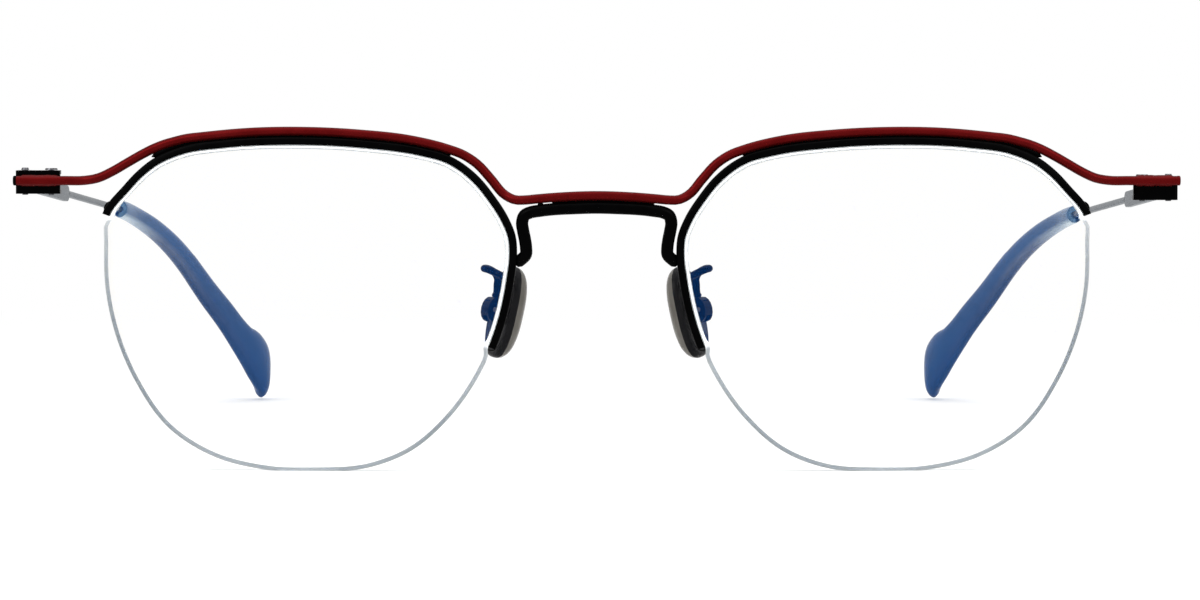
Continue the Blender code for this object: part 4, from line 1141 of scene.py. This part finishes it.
hinge = {
    "overhang": 1.1 * mm,
    "blockHeight": 2.8 * mm,
    "blockSpine": 0.8 * mm,
    "blockDrops": {"left": 0.95 * mm, "right": 0.20 * mm},
    "flange": 0.475 * mm,
    "eyeRadius": 1.0 * mm,
    "standOut": 0.15 * mm,
    "stopDistance": 3.2 * mm,
    "stopForward": 0.55 * mm,
    "runningGap": 0.05 * mm,
    "slotTurns": {"left": 35.0, "right": 118.0},
    "edge": 0.16 * mm,
}
hingeScrew = {
    "radius": 0.35 * mm,
    "headRadius": 0.50 * mm,
    "headHeight": 0.26 * mm,
    "crown": 0.13 * mm,
    "slotWidth": 0.14 * mm,
    "slotDepth": 0.084 * mm,
    "turn": 40.0,  # of its slot from the stop's
}
hingeStop = {
    "radius": 0.35 * mm,
    "headRadius": 0.78 * mm,
    "headHeight": 0.20 * mm,
    "crown": 0.08 * mm,
    "slotWidth": 0.22 * mm,
    "slotDepth": 0.132 * mm,
    "turn": 0.0,
}
softening = {
    "weld": 0.002 * mm,
    "segments": 3,
    "angle": math.radians(32),
}
hingeX = bar["halfLength"] - hinge["overhang"]
hingeY = endY + bar["radius"] + front["seatGap"] + hinge["blockSpine"] + front["seatGap"] + hinge["eyeRadius"]


def hingePlace(side):
    drop = hinge["blockDrops"]["left" if side == left else "right"]
    return Vector((side * hingeX, hingeY, endZ - drop))


def weld(piece):
    # a CAD node's triangles come loose, and a live modifier joins them
    piece.modifiers.new("weld", "WELD").merge_threshold = softening["weld"]


def softEdges(piece, width):
    weld(piece)
    bevel = piece.modifiers.new("softEdges", "BEVEL")
    bevel.width = width
    bevel.segments = softening["segments"]
    bevel.limit_method = "ANGLE"
    bevel.angle_limit = softening["angle"]
    bevel.use_clamp_overlap = True
    bevel.harden_normals = True


def coat(piece, finish):
    piece.data.materials.clear()
    piece.data.materials.append(finishes[finish])


def screwSizes(kind, shankLength):
    return {
        "Shank Radius": kind["radius"], "Shank Length": shankLength, "Head Radius": kind["headRadius"],
        "Head Height": kind["headHeight"], "Crown": kind["crown"], "Slot Width": kind["slotWidth"],
        "Slot Depth": kind["slotDepth"]}


def hingeFastener(name, place, kind, turn):
    head = place + up * (hinge["blockHeight"] / 2 + hinge["runningGap"])
    shankLength = hinge["blockHeight"] + hinge["runningGap"] + hinge["standOut"]
    sizes = screwSizes(kind, shankLength)
    return screwAt(name, head, (0.0, 0.0, math.radians(turn + kind["turn"])), sizes)


for word, side in sides.items():
    block = nodes["hinge_block_" + word]
    coat(block, "blackEnamel")
    softEdges(block, hinge["edge"])
    place = hingePlace(side)
    turn = hinge["slotTurns"][word]
    screw = hingeFastener("hingeScrew_" + word, place, hingeScrew, turn)
    dress(screw, "screwSteel", "front", "hinge_screw_" + word)
    pinPlace = place + Vector((-side * hinge["stopDistance"], -hinge["stopForward"], 0.0))
    pin = hingeFastener("hingeStop_" + word, pinPlace, hingeStop, turn)
    dress(pin, "screwSteel", "front", "hinge_stop_" + word)
print("hinges made")


# Temples: eye, flat leaf, round wire and the core inside the tip

temple = {
    "shaftLength": 72.4 * mm,
    "shaftIn": math.radians(3.8),
    "shaftDown": math.radians(4.2),
    "neckLength": 5.6 * mm,
    "neckHeight": 1.1 * mm,
    "neckStart": 0.7,  # share of the eye's radius
    "neckStep": 0.8 * mm,  # over which the neck widens to the leaf
    "neckStations": 6,
    "leafLength": 29.0 * mm,
    "leafHeight": 2.0 * mm,
    "leafThickness": 0.8 * mm,
    "leafCorner": 0.16 * mm,
    "cornerPoints": 5,
    "cornerLimit": 2.2,  # the corner is at most the height over this
    "leafStep": 4.0 * mm,
    "leafStations": 5,
    "leafEndTurns": (0, 15, 30, 42, 52, 60),  # degrees round the leaf's far end
    "wireRadius": 0.43 * mm,
    "wireCorner": 0.999,  # share of the radius that its section is rounded with
    "wireStations": 70,
    "eyeCorner": 0.08 * mm,
    "eyeSides": 40,
    "coreShare": 0.82,
}
tip = {
    "reach": 54.7 * mm,
    "inward": 15.7 * mm,
    "endHeight": 0.43 * mm,
    "width": 3.1 * mm,
    "height": 8.2 * mm,
    "pathShares": [(0.150, 0.060, 0.035), (0.314, 0.205, 0.116), (0.424, 0.305, 0.190),
                   (0.534, 0.408, 0.285), (0.662, 0.563, 0.444), (0.781, 0.748, 0.610),
                   (0.881, 0.905, 0.774), (0.954, 0.972, 0.912), (1.0, 0.960, 1.0)],
    # along, width, up, down
    "sectionShares": [
        (0.0, 0.56, 0.122, 0.122), (0.012, 0.68, 0.146, 0.146), (0.060, 0.70, 0.150, 0.150),
        (0.150, 0.72, 0.152, 0.160), (0.240, 0.76, 0.160, 0.178), (0.330, 0.79, 0.168, 0.197),
        (0.420, 0.82, 0.180, 0.217), (0.510, 0.84, 0.195, 0.236), (0.600, 0.86, 0.212, 0.252),
        (0.690, 0.88, 0.222, 0.272), (0.756, 0.91, 0.225, 0.300), (0.797, 0.95, 0.255, 0.322),
        (0.830, 0.98, 0.350, 0.338), (0.864, 1.0, 0.448, 0.340), (0.897, 0.98, 0.500, 0.325),
        (0.927, 0.92, 0.510, 0.290), (0.955, 0.80, 0.430, 0.230), (0.980, 0.60, 0.300, 0.150),
        (0.995, 0.34, 0.150, 0.080)],
    "sectionSteps": 5,
    "sides": 36,
}


def templeLine(side):
    hub = hingePlace(side)
    turnIn, turnDown = temple["shaftIn"], temple["shaftDown"]
    shaft = Vector((-side * math.sin(turnIn), math.cos(turnIn), -math.tan(turnDown)))
    shaft = shaft.normalized() * temple["shaftLength"]
    drop = hub.z + shaft.z - tip["endHeight"]
    knots = [shaft * (1 - 2 * temple["neckLength"] / temple["shaftLength"]), shaft]
    for back, inward, down in tip["pathShares"]:
        knots.append(shaft + Vector((-side * inward * tip["inward"], back * tip["reach"], -down * drop)))
    return [hub] + [hub + point for point in smoothThrough(knots)]


def ringAt(line, lengths, distance, section):
    # a section square to the line: first across, then upwards
    step = temple["wireRadius"]
    here = pointAlong(line, lengths, distance)
    ahead, behind = [pointAlong(line, lengths, distance + way) for way in (step, -step)]
    run = (ahead - behind).normalized()
    across = run.cross(up).normalized()
    return [here + across * a + across.cross(run) * b for a, b in section]


def roundedSection(halfAcross, halfUp, corner):
    points, steps = [], temple["cornerPoints"]
    for quarter in range(4):
        signA, signB = (1 if quarter in (0, 3) else -1), (1 if quarter in (0, 1) else -1)
        for step in range(steps):
            turn = (quarter + step / (steps - 1)) * math.pi / 2
            points.append((signA * (halfAcross - corner) + corner * math.cos(turn),
                           signB * (halfUp - corner) + corner * math.sin(turn)))
    return points


def templeBody(name, side):
    line = templeLine(side)
    lengths = lengthsAlong(line)
    coreEnd = temple["shaftLength"] + (lengths[-1] - temple["shaftLength"]) * temple["coreShare"]
    radius = temple["wireRadius"]
    wireSection = roundedSection(radius, radius, radius * temple["wireCorner"])
    neckEnd, neckHeight, leafHeight = temple["neckLength"], temple["neckHeight"], temple["leafHeight"]

    def leafSection(height):
        corner = min(temple["leafCorner"], height / temple["cornerLimit"])
        return roundedSection(temple["leafThickness"] / 2, height / 2, corner)

    # the neck starts inside the eye's wall, clear of the screw
    spans = [(hinge["eyeRadius"] * temple["neckStart"], neckHeight)]
    for share in evenSteps(0.0, 1.0, temple["neckStations"] + 1):
        ease = 3 * share ** 2 - 2 * share ** 3
        spans.append((neckEnd + temple["neckStep"] * share, neckHeight + (leafHeight - neckHeight) * ease))
    for step in range(1, temple["leafStations"] + 1):
        spans.append((neckEnd + temple["leafStep"] * step, leafHeight))
    roundStart = temple["leafLength"] - leafHeight / 2
    for turn in (math.radians(angle) for angle in temple["leafEndTurns"]):
        spans.append((roundStart + leafHeight / 2 * math.sin(turn), leafHeight * math.cos(turn)))
    rings = [ringAt(line, lengths, place, leafSection(height)) for place, height in spans]
    for place in evenSteps(temple["leafLength"], coreEnd, temple["wireStations"] + 1):
        rings.append(ringAt(line, lengths, place, wireSection))
    body = capLoft(name, rings)
    gap = hinge["blockHeight"] / 2 - hinge["flange"] - front["seatGap"]
    inner, outer = hingeScrew["radius"] + hinge["runningGap"], hinge["eyeRadius"]
    soft = temple["eyeCorner"]
    profile = [(inner, gap - soft), (inner + soft, gap), (outer - soft, gap), (outer, gap - soft),
               (outer, soft - gap), (outer - soft, -gap), (inner + soft, -gap), (inner, soft - gap)]
    eye = turned(name + "Eye", profile, Matrix.Translation(line[0]), temple["eyeSides"], closedProfile=True)
    return join(body, eye)


def join(piece, other):
    # two shells that overlap, kept as one object
    shape = bmesh.new()
    shape.from_mesh(piece.data)
    shape.from_mesh(other.data)
    shape.to_mesh(piece.data)
    shape.free()
    bpy.data.objects.remove(other)
    return piece


def tipBody(name, side):
    line = templeLine(side)
    lengths = lengthsAlong(line)
    length = lengths[-1] - temple["shaftLength"]
    rings = []
    sections = smoothThrough([Vector(row) for row in tip["sectionShares"]], tip["sectionSteps"])
    for along, width, rise, fall in sections:
        section = []
        for index in range(tip["sides"]):
            turn = 2 * math.pi * index / tip["sides"]
            height = rise if math.sin(turn) > 0 else fall
            section.append((side * width * tip["width"] / 2 * math.cos(turn),
                            height * tip["height"] * math.sin(turn)))
        rings.append(ringAt(line, lengths, temple["shaftLength"] + along * length, section))
    return loft(name, rings)


for word, side in sides.items():
    dress(templeBody("templeArm_" + word, side), "templeMetal", "temple_" + word, "temple_" + word)
    dress(tipBody("templeTip_" + word, side), "tipAcetate", "temple_" + word, "temple_tip_" + word)
print("temples and tips made")


# Nose pads: local X away from the nose, Y along the pad screw, Z up the pad

pad = {
    "pivot": (12.65 * mm, -60.5622 * mm, 18.98 * mm),
    "splay": math.radians(25.0),
    "tilt": math.radians(13.5),
    "length": 11.2 * mm,
    "width": 6.8 * mm,
    "thickness": 2.4 * mm,
    "standOff": 1.1 * mm,
    "insertRim": 0.8 * mm,
    "insertDepth": 1.2 * mm,
    "insertEdge": 0.20 * mm,
    "mouth": (0.01, 0.03 * mm),  # the recess's softened mouth: share of the face, depth
    "sides": 56,
    "coreShare": 0.36,  # how much of the thickness the black core shows on
    "fullness": 2.6,  # 2 is an ellipse, more is squarer
    "faceShares": [(0.0, 1.0), (0.25, 0.99), (0.45, 0.965), (0.62, 0.92), (0.75, 0.86), (0.86, 0.76),
                   (0.93, 0.64), (0.98, 0.49), (1.0, 0.33), (0.99, 0.17), (0.96, 0.06), (0.91, 0.0)],
}
padBox = {"height": 3.0 * mm, "width": 2.2 * mm, "front": 0.8 * mm, "edge": 0.12 * mm}
padScrew = {
    "radius": 0.28 * mm,
    "headRadius": 0.5 * mm,
    "headHeight": 0.24 * mm,
    "crown": 0.07 * mm,
    "slotWidth": 0.15 * mm,
    "slotDepth": 0.11 * mm,
}
padArm = {
    "radius": 0.45 * mm,
    "endRound": 0.1,
    "waver": 0.03,
    "stations": 70,
    "foot": (0.3 * mm, 0.5 * mm, 0.56 * mm),  # solder: before and past the arm's start, and its radius
    "end": (0.45 * mm, 0.35 * mm, 0.54 * mm),
    "lead": 0.4 * mm,
    "gap": 0.16 * mm,
    "shares": [(0.98, -0.84, 1.07), (0.70, -0.66, 1.45), (0.10, -0.50, 1.85), (-0.50, -0.40, 2.15),
               (-0.78, -0.22, 2.22), (-0.50, -0.04, 2.15), (-0.10, 0.02, 1.85), (0.10, 0.0, 1.40),
               (0.08, -0.04, 0.90)],
}


def padPlace(side):
    x, y, z = pad["pivot"]
    base = -pad["splay"] if side == left else math.pi + pad["splay"]
    turn = Matrix.Rotation(base, 4, "Z") @ Matrix.Rotation(-pad["tilt"], 4, "Y")
    return Matrix.Translation((side * x, y, z)) @ turn


def padBody(name, side):
    recess = (pad["length"] / 2 - pad["insertRim"] + front["seatGap"]) / (pad["length"] / 2)
    depth = pad["insertDepth"] + front["seatGap"]
    profile = [(r, h * pad["thickness"]) for r, h in pad["faceShares"]]
    wider, mouthDepth = pad["mouth"]
    profile += [(recess + wider, 0.0), (recess, mouthDepth), (recess, depth), (0.0, depth)]
    piece = turned(name, profile, Matrix(), pad["sides"])
    # the black core comes up to the edge on the side away from the nose
    for finish in ("padSilicone", "padCore"):
        piece.data.materials.append(finishes[finish])
    for face in piece.data.polygons:
        face.material_index = 1 if face.center.z < pad["coreShare"] * pad["thickness"] else 0
    # height becomes -X, towards the nose; the round becomes a full oval
    place, power = padPlace(side), pad["fullness"]
    for vertex in piece.data.vertices:
        x, y, z = vertex.co
        spread = math.hypot(x, y) / (abs(x) ** power + abs(y) ** power) ** (1 / power) if x or y else 0.0
        vertex.co = place @ Vector((-pad["standOff"] - z, y * spread * pad["width"] / 2,
                                    x * spread * pad["length"] / 2))
    return piece


def armPath(side):
    place = padPlace(left)
    back = -padBox["front"] / 4
    top = place @ Vector((back, 0.0, padBox["height"] / 2 + padArm["gap"]))
    lead = place @ Vector((back, 0.0, padBox["height"] / 2 + padArm["gap"] + padArm["lead"]))
    foot = outlinePoint(outlineAtHeight(top.z + padBox["height"] / 2 - lensZ, True))
    start = frontPoint(left, foot, midDepth + rim["depth"] / 2 + padArm["gap"])
    run, rise, inward = top.y - start.y, start.z - top.z, top.x - start.x
    points = [start, start + Vector((0.0, padArm["lead"], 0.0))]
    for shareIn, shareBack, shareUp in padArm["shares"]:
        points.append(Vector((top.x - shareIn * inward, top.y + shareBack * run, top.z + shareUp * rise)))
    points += [lead, top]
    return [onSide(side, point) for point in evenly(smoothThrough(points), padArm["stations"])]


for word, side in sides.items():
    dress(padBody("nosePad_" + word, side), "padSilicone", "pad_" + word, "nose_pad_" + word)
    for node, finish, edge in (("pad_insert_", "padCore", pad["insertEdge"]),
                               ("pad_box_", "blackEnamel", padBox["edge"])):
        coat(nodes[node + word], finish)
        softEdges(nodes[node + word], edge)
    path = armPath(side)
    arm = wire("padArm_" + word, path, padArm["radius"], "blackEnamel",
               endRound=padArm["endRound"], waver=padArm["waver"])
    dress(arm, "blackEnamel", "front", "pad_arm_" + word)
    downwards = (path[-1] - path[-2]).normalized()
    for part, spot, run in (("foot", path[0], Vector((0.0, 1.0, 0.0))), ("end", path[-1], downwards)):
        before, past, radius = padArm[part]
        bead("arm" + part.title() + "_" + word, spot - run * before, spot + run * past, radius)
    place = padPlace(side)
    facing = place.to_3x3() @ Vector((0.0, side, 0.0))
    head = place.translation + facing * (padBox["width"] / 2 + hinge["runningGap"])
    turn = facing.to_track_quat("Z", "X").to_euler()
    sizes = screwSizes(padScrew, padBox["width"] + hinge["runningGap"])
    screw = screwAt("padScrew_" + word, head, tuple(turn), sizes)
    dress(screw, "screwSteel", "front", "pad_screw_" + word)
    coat(nodes["rim_liner_" + word], "clearNylon")
    weld(nodes["rim_liner_" + word])
print("nose pads made")


# Camera, light and surroundings

photo = {
    "eye": (0.39 * mm, -668.1622 * mm, 47.60 * mm),
    "target": (0.39 * mm, -68.1622 * mm, 20.40 * mm),
    "focal": 152.3,
    "sensor": 36.0,
    "nearest": 10.0 * mm,
}
studio = {
    "worldLevel": 0.55,
    "floorSize": 6.0,
    "floorColour": (0.80, 0.80, 0.80, 1),
    "floorPale": (0.83, 0.83, 0.83, 1),
    "floorGrain": 1.2 * mm,
    "floorShown": 0.12,
    "fade": (0.12, 0.22),  # where the floor begins to go over to plain white, and over what length
    "lamps": [  # name, place, what it faces, size, power
        ("overhead", (0.0, -0.02, 0.75), (0.0, 0.0, 0.02), 0.90, 4.6),
        ("frontLeft", (-0.55, -0.55, 0.55), (0.0, -0.04, 0.02), 0.40, 3.3),
        ("frontRight", (0.55, -0.50, 0.50), (0.0, -0.04, 0.02), 0.40, 2.6),
    ],
}


def aim(thing, eye, target):
    thing.location = eye
    thing.rotation_euler = (Vector(target) - Vector(eye)).to_track_quat("-Z", "Y").to_euler()
    bpy.context.scene.collection.objects.link(thing)


def seenDirectly(maker):
    # 1 for rays that show a surface: from the camera, off gloss and through glass
    rays = maker.node("ShaderNodeLightPath").socket.node.outputs
    camera, glossy, through = [Signal(maker, rays["Is " + kind + " Ray"])
                               for kind in ("Camera", "Glossy", "Transmission")]
    return maker.clamp(camera + glossy + through)


def floorFinish(maker):
    seen = seenDirectly(maker)
    spot = maker.place()
    far = maker.node("ShaderNodeVectorMath", {"operation": "LENGTH"}, {0: spot}, output=1)
    fadeStart, fadeLength = studio["fade"]
    fade = maker.clamp((far - fadeStart) / fadeLength)
    grain = maker.noise(spot, studio["floorGrain"])
    tone = maker.mix(grain, studio["floorColour"], studio["floorPale"])
    lit = maker.node("ShaderNodeBsdfDiffuse", sockets={"Color": tone})
    white = maker.node("ShaderNodeEmission", sockets={"Color": (1, 1, 1, 1), "Strength": 1.0})
    share = seen * (studio["floorShown"] + (1.0 - studio["floorShown"]) * fade)
    return maker.node("ShaderNodeMixShader", sockets={0: share, 1: lit, 2: white})


bpy.ops.mesh.primitive_plane_add(size=studio["floorSize"])
floor = bpy.context.object
floor.name = "studioFloor"
floor.data.materials.append(newFinish("studioFloor", floorFinish))

world = bpy.data.worlds.new("studioWorld")
world.use_nodes = True
bpy.context.scene.world = world
maker = Maker(world.node_tree)
level = studio["worldLevel"] + (1.0 - studio["worldLevel"]) * seenDirectly(maker)
sky = maker.node("ShaderNodeBackground", sockets={"Color": (1, 1, 1, 1), "Strength": level})
maker.node("ShaderNodeOutputWorld", sockets={"Surface": sky})

for name, eye, target, size, power in studio["lamps"]:
    lamp = bpy.data.lights.new(name, "AREA")
    lamp.shape = "SQUARE"
    lamp.size = size
    lamp.energy = power
    aim(bpy.data.objects.new(name, lamp), eye, target)

camera = bpy.data.cameras.new("photoCamera")
camera.sensor_width = photo["sensor"]
camera.lens = photo["focal"]
camera.clip_start = photo["nearest"]
view = bpy.data.objects.new("photoCamera", camera)
aim(view, photo["eye"], photo["target"])
bpy.context.scene.camera = view
bpy.context.scene.view_settings.view_transform = "Standard"
print("studio made")
